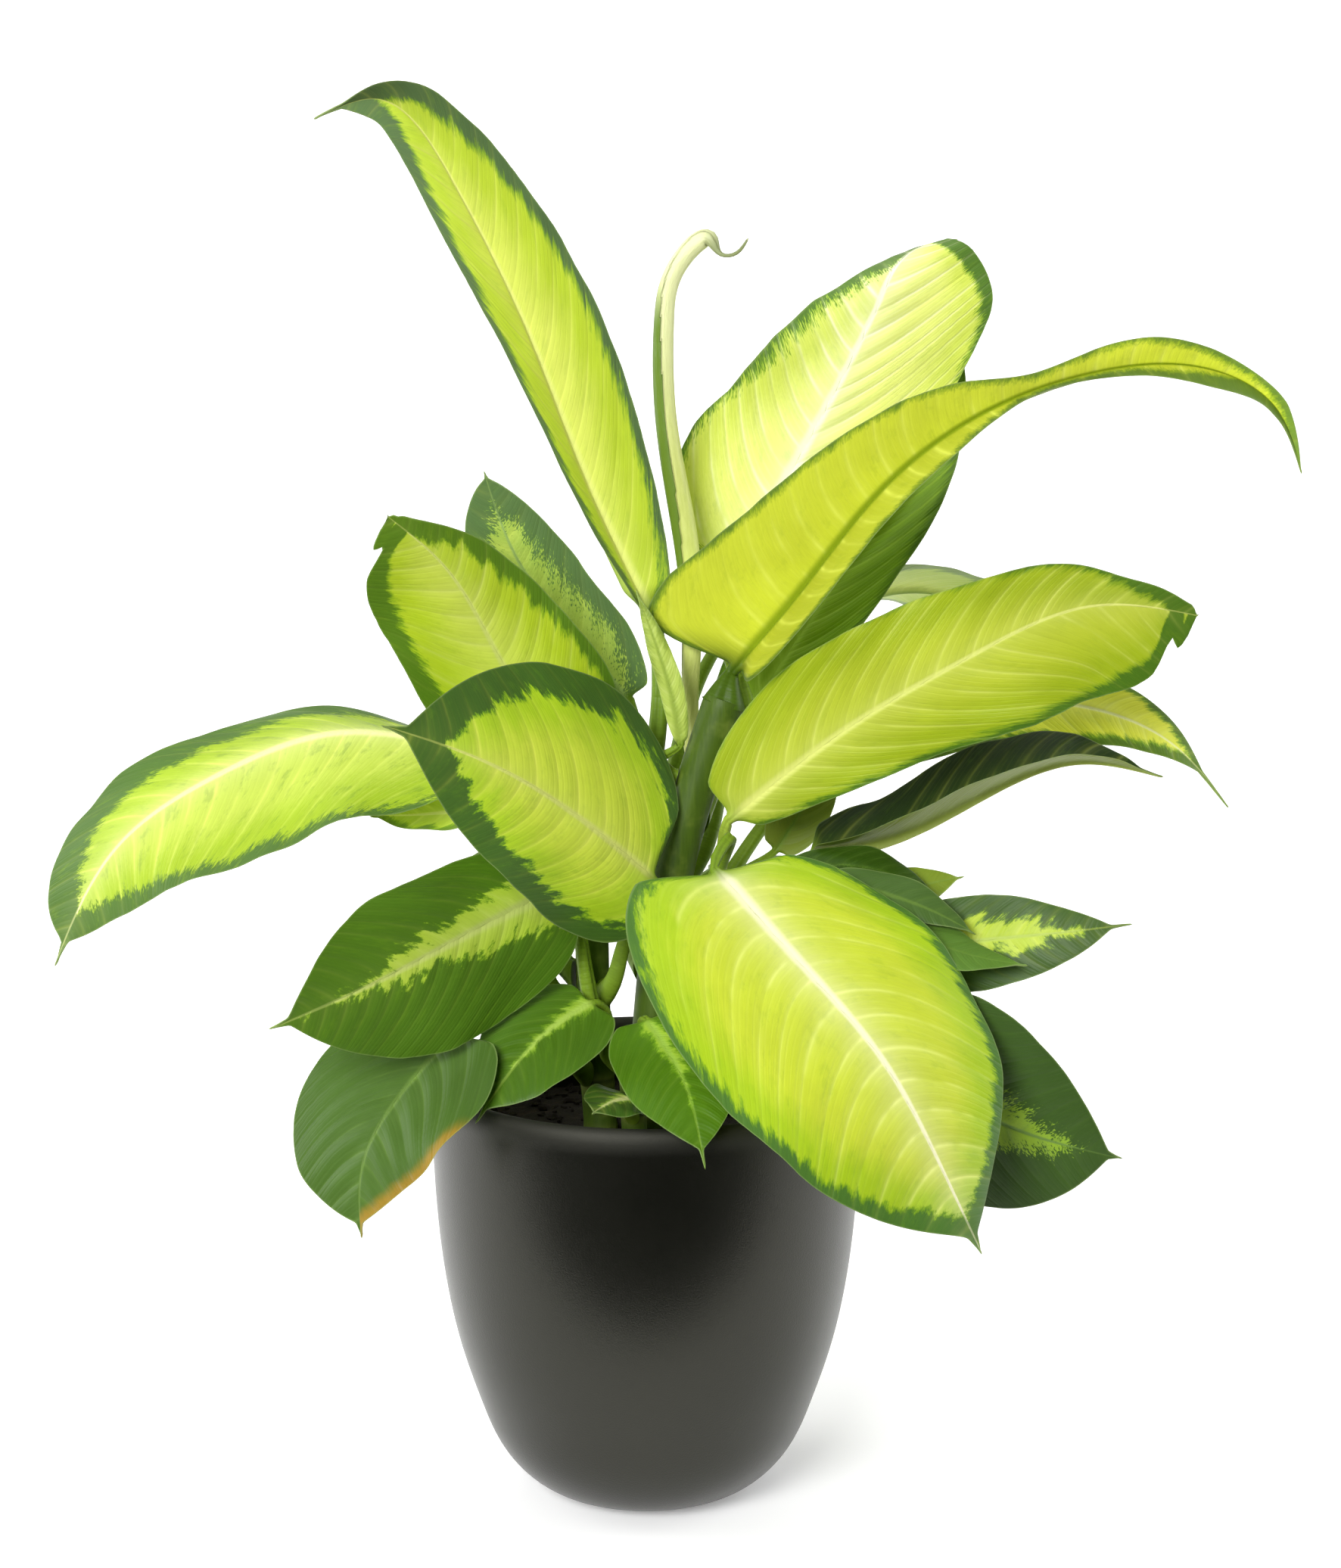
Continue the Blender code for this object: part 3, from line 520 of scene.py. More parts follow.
def stalk_line(leaf, count):
    """The stalk's middle line from its foot to the blade, which it meets in the rib's direction."""
    after = spline(leaf["rib"], [0.12])
    points = [*leaf["stalk"], leaf["rib"][0]]
    foot, away = foot_of(*leaf["on"])
    if len(leaf["on"]) > 1:
        points = [foot + away * FOOT_REACH + (0, 0, FOOT_REACH), *points]
    points = np.vstack([foot, np.array(points, float), after])
    end = chord_places(points)[-2]
    return spline(points, np.linspace(0, end, count + 1)[:-1]), away


def side_shape(u, widest, tip, tail, foot_round):
    """Share of the half width at u: a round foot, a taper, and a point drawn out over the part tail."""
    body = np.clip(u / (1 - tail), 0, 1)
    before = np.clip((widest - body) / widest, 0, 1)
    after = np.clip((body - widest) / (1 - widest), 0, 1)
    taper = (1 - after ** tip[0]) ** tip[1]
    main = np.where(body < widest, (1 - before**foot_round) ** 0.5, taper)
    point = 0.1 * np.clip((1 - u) / max(2.5 * tail, 0.01), 0, 1) * np.clip((u - 0.6) / 0.2, 0, 1)
    return (main**3 + point**3) ** (1 / 3)


def blade_frames(leaf, u):
    """The rib's points at u, its direction, the blade's side and upper normal, and the length up to u."""
    chain = np.linspace(0, 1, FRAME_STEPS + 1)
    step = 0.5 / FRAME_STEPS
    ahead, behind = (spline(leaf["rib"], np.clip(chain + d, 0, 1)) for d in (step, -step))
    along = unit(ahead - behind)
    middle = FRAME_STEPS // 2
    side = carried(np.cross(along[middle], direction(*leaf["face"])), along, middle)
    line = spline(leaf["rib"], chain)
    length = length_along(line)
    along, side = (np.column_stack([np.interp(u, chain, a[:, i]) for i in range(3)]) for a in (along, side))
    along = unit(along)
    side = unit(side - along * np.sum(side * along, axis=1, keepdims=True))
    return spline(leaf["rib"], u), along, side, np.cross(side, along), np.interp(u, chain, length)


def bent_over(points, bend, face):
    """Points past a line roll back over it: turn = min(ahead / radius, angle), and the rest goes straight."""
    up = direction(*face)
    line = unit(np.array(bend["line"], float))
    up = unit(up - line * (up @ line))
    forward = np.cross(up, line)
    rel = points - bend["at"]
    ahead = np.maximum(rel @ forward, 0)
    lift = rel @ up
    radius = bend["radius"]
    turn = np.minimum(ahead / radius, math.radians(bend["angle"]))
    rest = ahead - radius * turn
    new_ahead = (radius + lift) * np.sin(turn) + rest * np.cos(turn)
    new_lift = (radius + lift) * np.cos(turn) - radius - rest * np.sin(turn)
    return points + (new_ahead - ahead)[..., None] * forward + (new_lift - lift)[..., None] * up


def blade(leaf, u, v, seed):
    """The blade's middle surface on a grid of u along the rib and v across it, and what its colours follow.

    out = |v| half width(u), and each point = rib + side out cos(fold)
    + normal (out sin(fold) + curl out^2 / half + wave + flutter - quilting)
    - along lobe |v|^1.3 ((u / place) exp(1 - u / place))^0.6.
    A side vein runs where vein = length - out (lean + bend out / half) + a slow wander is constant, and the
    blade swells between the veins.
    """
    rib, along, side, normal, length = blade_frames(leaf, u)
    right = (v > 0).astype(int)
    half_of, lobe, curl, widest, foot_round, margin, margin_tip = (
        np.broadcast_to(leaf[key], 2)
        for key in ("half", "lobe", "curl", "widest", "foot_round", "margin", "margin_tip"))
    tips = np.broadcast_to(leaf["tip"], (2, 2))
    share = np.stack([side_shape(u, widest[k], tips[k], leaf["tail"], foot_round[k]) for k in (0, 1)], 1)
    for which, place, size, depth in leaf["notch"]:
        share[:, which] *= 1 - depth * np.exp(-((u - place) / size) ** 2)
    rows = u[:, None]
    run = length[:, None]
    edge_of = np.array([[0.0, 50.0]])
    rough = lumps(run, edge_of, seed, SPANS["edge"])
    rough = rough + 0.25 * lumps(run, edge_of, seed + 1, SPANS["fine_edge"])
    half = half_of * share + leaf["ragged"] * rough * np.clip(2 * share, 0, 1)
    half = np.maximum(half, TIP_HALF_WIDTH * (1 - 0.6 * rows**8))[:, right]
    out = np.abs(v) * half
    at_foot = np.array(leaf["fold"][:2])[right]
    at_tip = np.array(leaf["fold"][2:])[right]
    fold = np.radians(at_foot + (at_tip - at_foot) * rows) * (1 - rows**40)
    height, number, start = leaf["wave"]
    swing = np.sin(2 * math.pi * (number * rows + start) + 1.7 * right)
    wave = height * v**2 * np.sqrt(np.sin(math.pi * rows)) * swing
    lean, bend = np.broadcast_to(leaf["vein_lean"], (2, 2))[right].T
    vein = run - out * (lean + bend * out / half_of[right])
    wander = VEIN_WANDER * lumps(vein, 60.0 * right, seed + 3, SPANS["wander"])
    vein = vein + wander + 0.5 * leaf["vein_gap"] * right
    calm = np.sin(math.pi * rows) ** 0.6 * np.clip(out / 7, 0, 1)
    uneven = 0.9 * lumps(vein, out * 0.5, seed + 5, SPANS["swelling"])
    swell = np.cos(2 * math.pi * vein / leaf["vein_gap"]) + uneven
    quilt = leaf["quilt"] * swell * calm * (1 - np.abs(v) ** 4)
    flutter = leaf["flutter"] * lumps(vein, 30.0 * right, seed + 9, SPANS["flutter"]) * v**2 * 1.6 * calm
    up = out * np.sin(fold) + curl[right] * out**2 / np.maximum(half, 1) + wave + flutter - quilt
    place = rows / leaf["lobe_place"]
    back = lobe[right] * np.abs(v) ** 1.3 * (place * np.exp(1 - place)) ** 0.6
    sideways = np.sign(v) * out * np.cos(fold)
    points = (rib[:, None] + side[:, None] * sideways[..., None] + normal[:, None] * up[..., None]
              - along[:, None] * back[..., None])
    if leaf["bend"]:
        points = bent_over(points, leaf["bend"], leaf["face"])
    slope = np.gradient(half, length + 1e-6 * np.arange(len(length)), axis=0)
    edge = (half - out) / np.sqrt(1 + np.clip(slope, -3, 3) ** 2)
    foot = leaf["margin_foot"] + (1 - leaf["margin_foot"]) * np.clip(rows / 0.4, 0, 1)
    pale = edge - margin[right] * foot - margin_tip[right] * rows**6
    if leaf["reach"] is not None:
        stretch = np.clip(1 - rows / leaf["reach_end"], 0, 1) ** 0.6 * np.clip(rows / 0.05, 0.5, 1)
        pale = np.minimum(pale, (np.broadcast_to(leaf["reach"], 2)[right] + 2) * stretch - 2 - out)
    dry = np.zeros_like(out)
    if leaf["dry"]:
        which, low, high, band = leaf["dry"]
        inside = np.clip((rows - low) / 0.12, 0, 1) * np.clip((high - rows) / 0.1, 0, 1)
        dry = inside * np.clip(1 - edge / band, 0, 1) * (right == which)
    return points, dict(vein=vein, out=out * np.sign(v), pale=pale, edge=edge, dry=dry)


def leaf_piece(name, look=None, rows=110, columns=24, **given):
    """One closed leaf: stalk rings, then rings over the blade's upper and lower face, ending in a point.

    on is its cane, with the height and azimuth where the stalk leaves it, rib the points of the rib's line,
    and face the azimuth and height that the upper face looks to.
    Stations where the stalk turns into the blade mix the stalk's round section with the blade's thin one.
    The rib hangs under the blade as depth exp(-(out / width)^2) and leaves a shallow groove above it.
    """
    leaf = {**PLAIN_LEAF, **given}
    foot_radius, radius = leaf["radii"]
    seed = sum(ord(letter) for letter in "leaf_" + name)
    t = np.linspace(0, 1, columns + 1)
    v = t * (0.35 + 0.65 * t**2)
    v = np.concatenate([-v[:0:-1], v])
    wide = len(v)
    s = np.linspace(0, 1, rows + 1)[1:]
    u = 0.72 * s + 0.28 * (0.5 - 0.5 * np.cos(np.pi * s))
    u[-1] = 1 - 1e-4
    middle, facts = blade(leaf, u, v, seed)
    along = np.gradient(middle, axis=0)
    across = np.gradient(middle, axis=1)
    normals = unit(np.cross(across, along))
    out = np.abs(facts["out"])
    rib_depth = radius * (1 - u[:, None]) ** 0.8 + 0.15
    thick = ADDED_IN_MIDDLE * np.sqrt(1 - np.abs(v) ** 6) + EDGE_HALF_THICKNESS
    groove = 0.16 * rib_depth * np.exp(-(out / (0.9 * rib_depth)) ** 2)
    keel = 1.7 * rib_depth * np.exp(-(out / (1.05 * rib_depth)) ** 2)
    upper = middle + (thick - groove)[..., None] * normals
    lower = middle - (thick + keel)[..., None] * normals
    blade_rings = np.concatenate([upper, lower[:, ::-1]], axis=1)
    around = 2 * wide
    count = STALK_RINGS
    line, away = stalk_line(leaf, count)
    rib, rib_way, rib_side, rib_normal, _ = blade_frames(leaf, np.concatenate([[0.0], u]))
    path = np.vstack([line, rib[:1]])
    ways = tangents(path)
    ways[-1] = rib_way[0]
    sides = carried(rib_side[0], ways, count)
    tops = np.cross(sides, ways)
    grow = np.linspace(0, 1, count + 1)
    radii = foot_radius + (radius - foot_radius) * grow
    radii = radii * (1 + leaf["flare"] * np.exp(-grow * 9))
    sink = radius * 0.8 * np.clip((grow - 0.5) * 2, 0, 1) ** 2
    half_turn = (np.arange(wide) + 0.5) / wide * np.pi
    angles = np.concatenate([np.pi - half_turn, -half_turn])
    channel = 1 - 0.28 * np.exp(-((angles - np.pi / 2) / 0.5) ** 2)
    circle = np.stack([np.cos(angles) * channel, np.sin(angles) * channel], -1)
    centre = path - sink[:, None] * tops
    stalk = rings_round(centre, radii[:, None], sides, tops, circle)
    lean = max(ways[0] @ away, 0.45)
    stalk[0] -= np.outer((stalk[0] - path[0]) @ away, ways[0]) / lean
    mix = np.clip(u / ROUND_UNTIL, 0, 1)
    mix = (mix * mix * (3 - 2 * mix))[:, None, None]
    low = rib[1:] - radius * 0.8 * rib_normal[1:]
    slim = radius * np.sqrt(1 - u)[:, None]
    rounds = rings_round(low, slim, rib_side[1:], rib_normal[1:], circle)
    blade_rings = rounds * (1 - mix) + blade_rings * mix
    rings = np.concatenate([stalk, blade_rings])
    near_tip, tip = rings[-3].mean(axis=0), rings[-1].mean(axis=0)
    points, faces = capped(rings, [stalk[0].mean(axis=0), tip + unit(tip - near_tip) * TIP_POINT])

    def over_rings(values, on_stalk):
        both = np.concatenate([values, values[:, ::-1]], axis=1)
        return np.concatenate([np.broadcast_to(on_stalk, (count + 1, around)), both])

    is_upper = np.concatenate([np.ones(wide), np.zeros(wide)])
    on_stalk = np.concatenate([np.ones(count + 1), (1 - mix)[:, 0, 0]])
    length = length_along(path)
    rib_share = out / (radius * (1 - u[:, None]) ** 0.9 * 0.62 + 0.35)
    fields = {
        "leaf_veins": [over_rings(facts["vein"], (length - length[-1])[:, None]),
                       over_rings(facts["out"], np.degrees(angles) * 0.05), over_rings(facts["pale"], 0.0)],
        "leaf_zones": [over_rings(facts["edge"], 9.0), is_upper, on_stalk[:, None]],
        "leaf_rib": [over_rings(rib_share, 9.0), over_rings(np.broadcast_to(u[:, None], out.shape), 0.0),
                     over_rings(facts["dry"], 0.0)],
    }
    attributes = {}
    for key, values in fields.items():
        stacked = np.stack([np.broadcast_to(a, (len(rings), around)) for a in values], -1).reshape(-1, 3)
        attributes[key] = np.vstack([stacked, stacked[:1], stacked[-1:]])
    finish = leaf_finish(name, look or {}, leaf["vein_gap"], seed)
    add_piece(name + "_leaf", points, faces, finish, ("leaf_" + name,), "leaf_green", attributes)


def linear(colour):
    """Linear colour from one written with 0 to 255 a channel, as on a screen."""
    c = np.array(colour) / 255
    return tuple(np.where(c <= 0.04045, c / 12.92, ((c + 0.055) / 1.055) ** 2.4).tolist())


def times(value, *factors):
    """The product of a socket and further sockets or numbers."""
    for factor in factors:
        value = maths("MULTIPLY", value, factor)
    return value


def leaf_finish(name, look, vein_gap, seed):
    """Waxy blade: dark margin, pale middle, and fingers of each in the other along the side veins.

    The colour follows the distance inside the pale part, in millimetres, shifted by noise that is stretched
    along the veins. The veins, the rib, the stalk, the lower face and the thin edge are laid over it.
    """
    look = {**PLAIN_LOOK, **look}
    made, tree, shader = new_finish("leaf_" + name + "_finish", 0.17)
    colours = {key: value for key, value in look.items() if np.shape(value) == (3,)}
    shade = {key: linear(value) for key, value in colours.items()}
    vein, out, pale = attribute_parts(tree, "leaf_veins")
    edge, is_upper, on_stalk = attribute_parts(tree, "leaf_zones")
    rib_share, along, dry = attribute_parts(tree, "leaf_rib")
    spread = maths("ABSOLUTE", out)
    offset = scaled(maths("SIGN", out), 7.3, seed * 1.7)

    def streaks(across, outward, detail, roughness=0.62):
        inputs = {0: times(vein, across), 1: times(spread, outward), 2: offset}
        return noise(add_node(tree, "CombineXYZ", inputs).outputs[0], 1.0, detail, roughness)

    def shifted(value, amount, base):
        """base + amount (value - 0.5)"""
        return scaled(maths("SUBTRACT", value, 0.5), amount, base)

    fingers = streaks(0.17, 0.10, 7.0, 0.72)
    patches = streaks(0.075, 0.05, 2.0)
    brush = streaks(1.5, 0.16, 3.0)
    spots = streaks(1.3, 0.7, 2.0, 0.5)
    cloud = noise(add_node(tree, "TexCoord").outputs["Object"], 30.0)
    inside = shifted(fingers, look["finger"] * 3.2, pale)
    inside = shifted(patches, look["finger"] * 1.8, inside)
    inside = shifted(spots, look["speckle"] * 5.0, inside)
    shades = ((-7.0, shade["dark"]), (-1.2, shade["dark"]), (0.3, shade["mid"]), (2.6, shade["lime"]),
              (8.0, shade["lime"]), (24.0, shade["pale"]))
    low, high = shades[0][0], shades[-1][0]
    level = add_node(tree, "MapRange", {"Value": inside, "From Min": low, "From Max": high}).outputs[0]
    ramp = add_node(tree, "ValToRGB", {0: level})
    stops = ramp.color_ramp.elements
    for k, (at, colour) in enumerate(shades):
        stop = stops[k] if k < 2 else stops.new(1.0)
        stop.position = (at - low) / (high - low)
        stop.color = (*colour, 1.0)
    colour = ramp.outputs[0]
    green = times(smooth_step(streaks(0.16, 0.11, 5.0, 0.68), 0.52, 0.68), look["mottle"])
    colour = blend(green, colour, shade["mid"])
    pale_part = smooth_step(inside, -0.5, 3.0)
    tone = scaled(brush, 0.22, 0.89)
    tone = shifted(cloud, 0.30, tone)
    # Painted light and shade: the brightness of each side of the blade is multiplied by its own factor.
    left_painted_shading, right_painted_shading = look["painted_side_shading"]
    on_right = maths("GREATER_THAN", out, 0.0)
    tone = times(tone, scaled(on_right, right_painted_shading - left_painted_shading, left_painted_shading))
    tone = times(tone, scaled(maths("POWER", along, 3.0), look["tip_tone"] - 1.0, 1.0))
    tones = add_node(tree, "CombineXYZ", {0: tone, 1: tone, 2: tone}).outputs[0]
    colour = blend(1.0, colour, tones, "MULTIPLY")

    def away_from(gap):
        """Distance in millimetres to the nearest vein of a set with this gap."""
        turn = maths("FRACT", maths("DIVIDE", vein, gap))
        from_half = maths("ABSOLUTE", maths("SUBTRACT", turn, 0.5))
        return times(maths("SUBTRACT", 0.5, from_half), gap)

    away = away_from(vein_gap)
    line = smooth_step(away, VEIN_LINE, 0.0)
    halo = smooth_step(away, 0.42 * vein_gap, 0.0)
    fine_line = smooth_step(away_from(vein_gap / 4), 0.9, 0.1)
    fade = maths("POWER", 0.5, maths("DIVIDE", spread, VEINS_FADE))
    strength = times(line, look["veins"])
    strength = scaled(halo, look["halo"], strength)
    strength = scaled(fine_line, look["veins"] * 0.18, strength)
    strength = times(strength, fade, smooth_step(patches, 0.3, 0.62), scaled(pale_part, 0.8, 0.2))
    colour = blend(strength, colour, shade["vein"])
    near = maths("POWER", 0.5, maths("DIVIDE", spread, look["glow_width"]))
    near = times(near, look["glow"], scaled(pale_part, 0.85, 0.15), scaled(along, -0.6, 1.0))
    colour = blend(near, colour, shade["rib"])
    rib_end = scaled(along, -1.0 * look["rib_width"], 1.8 * look["rib_width"])
    on_rib = smooth_step(rib_share, rib_end, 0.3 * look["rib_width"])
    on_rib = times(on_rib, scaled(pale_part, 0.65, 0.35))
    rib_colour = blend(is_upper, shade["under_rib"], shade["rib"])
    under = blend(look["under_share"], colour, shade["under"])
    colour = blend(is_upper, under, colour)
    colour = blend(on_rib, colour, rib_colour)
    dried = times(dry, scaled(fingers, 1.6, 0.3))
    dried = times(smooth_step(dried, 0.0, 0.9), 0.85)
    colour = blend(dried, colour, shade["dry"])
    rim = times(smooth_step(edge, 0.7, 0.1), look["edge_share"])
    colour = blend(rim, colour, shade["edge"])
    low_tone = tuple(0.72 * c for c in shade["stalk"])
    high_tone = tuple(min(1.25 * c, 1.0) for c in shade["stalk"])
    colour = blend(on_stalk, colour, blend(brush, low_tone, high_tone))
    tree.links.new(colour, shader.inputs["Base Color"])
    rough = scaled(brush, 0.14, look["roughness"] - 0.07)
    tree.links.new(rough, shader.inputs["Roughness"])
    relief = times(smooth_step(away, 2.6, 0.0), look["relief"])
    relief = scaled(fine_line, -0.12, relief)
    relief = scaled(brush, 0.16, relief)
    raise_surface(shader, relief, 0.0006, 0.7)
    return made


leaf_piece(
    "tall_left", on=("main", 292, -148), stalk=((4, 21, 345),), radii=(5, 3.6),
    rib=((2, 26, 408), (-26, 20, 468), (-51, 10, 534), (-84, -5, 604), (-114, -25, 640), (-140, -45, 632)),
    face=(-2, -11), half=(25, 34), widest=(0.62, 0.4), tip=((2.6, 0.85), (2.2, 0.85)), tail=0.04, lobe=(2, 5),
    foot_round=(1.2, 1.6), fold=(78, 0, 54, 0),
    margin=3.5, margin_tip=14.0, vein_lean=(1.1, 1.1), vein_gap=19.0, quilt=0.12,
    look=dict(dark=(84, 110, 66), mid=(122, 158, 48), lime=(184, 206, 52), pale=(214, 224, 96),
              rib=(226, 232, 130), stalk=(102, 130, 34), finger=4.0, veins=0.5, glow=0.3,
              # Its folded-back left half is painted lighter: painted light.
              painted_side_shading=(1.42, 1.0)))

# Pale broad leaf at the top right. It stands behind the others, and its upper end rolls back over itself, so
# only its creamy lower part shows, with a thin green margin.
leaf_piece(
    "pale_top", on=("main", 352, 115), stalk=((38, 32, 390),),
    rib=((39, 40, 425), (68, 46, 475), (92, 52, 519), (119, 60, 573), (132, 65, 597)),
    face=(10, 0), half=(50, 51), widest=(0.3, 0.7), tip=((1.2, 1.3), (4.5, 0.6)), lobe=8, wave=(2, 2, 0.2),
    bend=dict(at=(98, 60, 544), line=(0.88, 0.0, 0.475), radius=14, angle=150),
    margin=(1.5, -2), margin_tip=22.0, vein_gap=13.0, quilt=0.75,
    vein_lean=((0.3, 0.85), (1.1, 0.9)),
    look=dict(dark=(84, 120, 44), mid=(138, 174, 50), lime=(208, 222, 88), pale=(228, 236, 120),
              rib=(254, 254, 217), vein=(250, 252, 200), finger=3.0, speckle=2.4, glow=0.7,
              glow_width=6.0, veins=0.8, halo=0.25, relief=-0.5, rib_width=2.0))

# Leaf with the long tip. It grows on the end of the main cane, its right half folded up along the rib, and
# its narrow end reaches far out to the right and hangs down.
leaf_piece(
    "long_tip", on=("main",), radii=(10.2, 3), flare=0.0,
    rib=((39, 10, 384), (71, -5, 425), (109, -20, 475), (145, -25, 503), (196, -12, 521), (255, 0, 521),
         (282, 4, 504), (294, 5, 476)),
    face=(-8, -3), half=(51, 33), widest=0.10, tip=((1.0, 1.5), (1.0, 1.2)), lobe=(25, 4), lobe_place=0.03,
    fold=(0, 80, 35, 35), rows=150,
    notch=((0, 0.57, 0.08, 0.5), (0, 0.76, 0.09, -0.85), (1, 0.58, 0.12, 0.75), (1, 0.82, 0.08, -1.5)),
    margin=(0.9, 1.0), margin_foot=2.4, margin_tip=(4.0, 22.0), vein_lean=(0.1, 0.6), vein_gap=15.0,
    look=dict(dark=(104, 134, 48), mid=(146, 172, 44), lime=(212, 222, 60), pale=(211, 220, 58),
              rib=(136, 156, 24), vein=(230, 236, 104), stalk=(66, 92, 16), finger=2.0, glow=0.5,
              # Both halves are painted darker, the folded-up right half most: painted shade.
              glow_width=1.2, painted_side_shading=(0.86, 0.58), tip_tone=1.9, rib_width=1.4))

# Shaded leaf. It stands between the two before it and turns its darker face, partly painted shade, to the
# front.
leaf_piece(
    "shaded", on=("main", 318, 144), stalk=((33, 32, 333),),
    rib=((37, 44, 345), (69, 58, 390), (103, 68, 441), (131, 74, 489), (150, 82, 532)),
    face=(-25, 15), half=(32, 25), widest=(0.5, 0.6), lobe=4, margin=2, vein_lean=(1.2, 1.0),
    # These greens are partly the leaf's own colour and partly painted shade.
    look=dict(dark=(78, 112, 14), mid=(92, 130, 14), lime=(112, 150, 18), pale=(124, 158, 24),
              rib=(142, 176, 50), vein=(152, 186, 62), under=(104, 142, 20), under_share=0.5,
              glow=0.2, veins=0.55, halo=0.35))

# Big leaf that reaches out to the right, broad and flat, with a rounded torn tip.
leaf_piece(
    "big_right", on=("right", 262, 180), stalk=((35, 6, 302),),
    rib=((37, -6, 318), (89, -16, 362), (147, -27, 399), (197, -28, 420), (245, -22, 415)),
    face=(-3, -5), half=(39, 42), widest=(0.3, 0.6), tip=((1.6, 0.76), (5.5, 0.6)), tail=0.0,
    foot_round=(1.5, 0.85), lobe=(8, 2), wave=(2, 3, 0.2),
    notch=((0, 0.86, 0.07, 0.22), (1, 0.965, 0.012, 0.5)), margin=(-1, 2.5), margin_tip=11.0,
    vein_gap=17.0, vein_lean=(0.9, 1.0),
    look=dict(dark=(74, 112, 26), mid=(124, 154, 28), lime=(156, 176, 28), pale=(180, 194, 46),
              rib=(224, 230, 124), vein=(222, 230, 112), stalk=(150, 172, 60), finger=3.2, glow=0.5))

# Two leaves under the big one: an arched one that hangs its tip at the far right, and one folded into a
# trough that shows its pale lower face.
leaf_piece(
    "right_back", on=("back", 252, 90), stalk=((50, 42, 300),),
    rib=((84, 55, 333), (157, 50, 362), (209, 45, 361), (246, 45, 344), (272, 45, 315)),
    face=(10, 40), half=(25, 22), lobe=5, tail=0.09, margin=(1.5, 3), margin_tip=7.0,
    look=dict(dark=(86, 118, 34), lime=(228, 234, 62), pale=(238, 241, 88), finger=3.0, glow=0.3))
leaf_piece(
    "trough", on=("right", 240, 112), stalk=((54, 12, 276),), radii=(4, 2.4),
    rib=((73, 20, 298), (107, 17, 304), (153, 10, 327), (197, 5, 344), (235, 5, 337)),
    face=(5, 80), half=(27, 25), widest=0.45, lobe=2, fold=(38, 38, 30, 30), tail=0.05, reach=0,
    look=dict(dark=(22, 42, 2), mid=(70, 98, 14), lime=(140, 160, 44), pale=(152, 168, 60),
              under=(146, 162, 70), under_share=0.8, under_rib=(186, 194, 120), rib=(110, 140, 40)))

# Broad leaf at the front. It leans over the pot's rim towards the viewer, with a wide white rib.
leaf_piece(
    "front_right", on=("right", 248, 2), stalk=((29, -14, 285), (38, -26, 315)),
    rib=((31, -42, 305), (70, -75, 267), (103, -100, 232), (127, -115, 190), (145, -120, 152)),
    face=(25, 48), half=(68, 78), widest=(0.36, 0.38), tip=((2.5, 0.87), (2.9, 1.02)), lobe=(1, 22),
    lobe_place=0.075, foot_round=(2.0, 1.7), fold=(4, 2, 0, 0), curl=-0.08, wave=(2, 3, 0.1),
    rows=140, columns=30, margin=(3.5, 4), margin_tip=9.0, vein_gap=16.0, vein_lean=(0.12, 0.9), quilt=0.35,
    look=dict(dark=(72, 112, 40), mid=(112, 152, 28), lime=(160, 190, 28), pale=(188, 202, 48),
              rib=(242, 240, 196), vein=(232, 240, 128), glow=0.6, glow_width=6.0,
              veins=0.55, halo=0.25, rib_width=1.8, relief=-0.35))

# Front left leaf, with a wide dark margin round a feathered lime middle.
leaf_piece(
    "front_left", on=("left", 238, 40), stalk=((-8, -17, 268),),
    rib=((5, -25, 295), (-32, -50, 331), (-74, -80, 362), (-111, -100, 379)),
    face=(49, 16), half=(52, 63), widest=0.38, lobe=(8, 6), fold=(4, 4, 0, 0), wave=(2, 2, 0.2), tail=0.06,
    margin=13, margin_foot=0.25, margin_tip=20.0, vein_lean=(0.2, 0.9),
    look=dict(dark=(62, 96, 30), mid=(104, 148, 26), lime=(166, 198, 32), pale=(192, 210, 58),
              rib=(206, 214, 112), vein=(222, 230, 92), finger=8.0, veins=0.5, roughness=0.6))

# Three leaves behind it on the left: a broad one with a torn tip, a long one that arches far out to the left
# and hangs, and a dark speckled one.
leaf_piece(
    "torn", on=("left", 264, -168), stalk=((-30, 14, 305),),
    rib=((-34, 5, 338), (-67, -15, 398), (-88, -28, 437), (-112, -40, 461)),
    face=(16, -10), half=40, widest=(0.5, 0.3), tip=((5.0, 0.6), (1.5, 0.9)), tail=0.0, lobe=8,
    wave=(2, 2, 0.2), notch=((0, 0.955, 0.014, 0.45), (1, 0.985, 0.01, 0.4)), margin=(8, 6),
    look=dict(dark=(84, 120, 26), mid=(128, 162, 30), lime=(172, 195, 38), pale=(192, 208, 72),
              rib=(200, 210, 110), vein=(204, 214, 106), finger=5.0))
leaf_piece(
    "far_left", on=("left", 246, -110), stalk=((-48, 20, 316),),
    rib=((-80, 14, 348), (-141, 0, 358), (-192, -18, 342), (-235, -30, 313), (-264, -40, 260)),
    face=(-14, 46), half=(54, 37), widest=(0.38, 0.55), tip=((2.4, 0.8), (3.4, 0.65)), lobe=(6, 4),
    fold=(0, -35, 0, 0), wave=(2, 3, 0.2), tail=0.045, margin=(5, 13), margin_foot=0.2, margin_tip=12.0,
    vein_gap=15.0,
    look=dict(dark=(80, 112, 48), mid=(114, 146, 42), lime=(156, 184, 40), pale=(180, 200, 72), mottle=0.5,
              rib=(236, 240, 164), finger=6.0, speckle=2.4, rib_width=1.6, glow=0.6))
leaf_piece(
    "speckled_left", on=("left", 277, 145), stalk=((-14, 30, 330),), radii=(4, 2.4),
    rib=((-8, 40, 365), (-36, 38, 400), (-58, 30, 432), (-73, 20, 474)),
    face=(-10, -20), half=(24, 26), tip=((3.2, 0.75), (2.8, 0.8)), lobe=5, tail=0.02, margin=11,
    look=dict(dark=(88, 116, 68), mid=(112, 146, 66), lime=(168, 192, 84), pale=(196, 212, 108),
              rib=(150, 176, 100), finger=7.0, speckle=6.0, veins=0.15, glow=0.2))

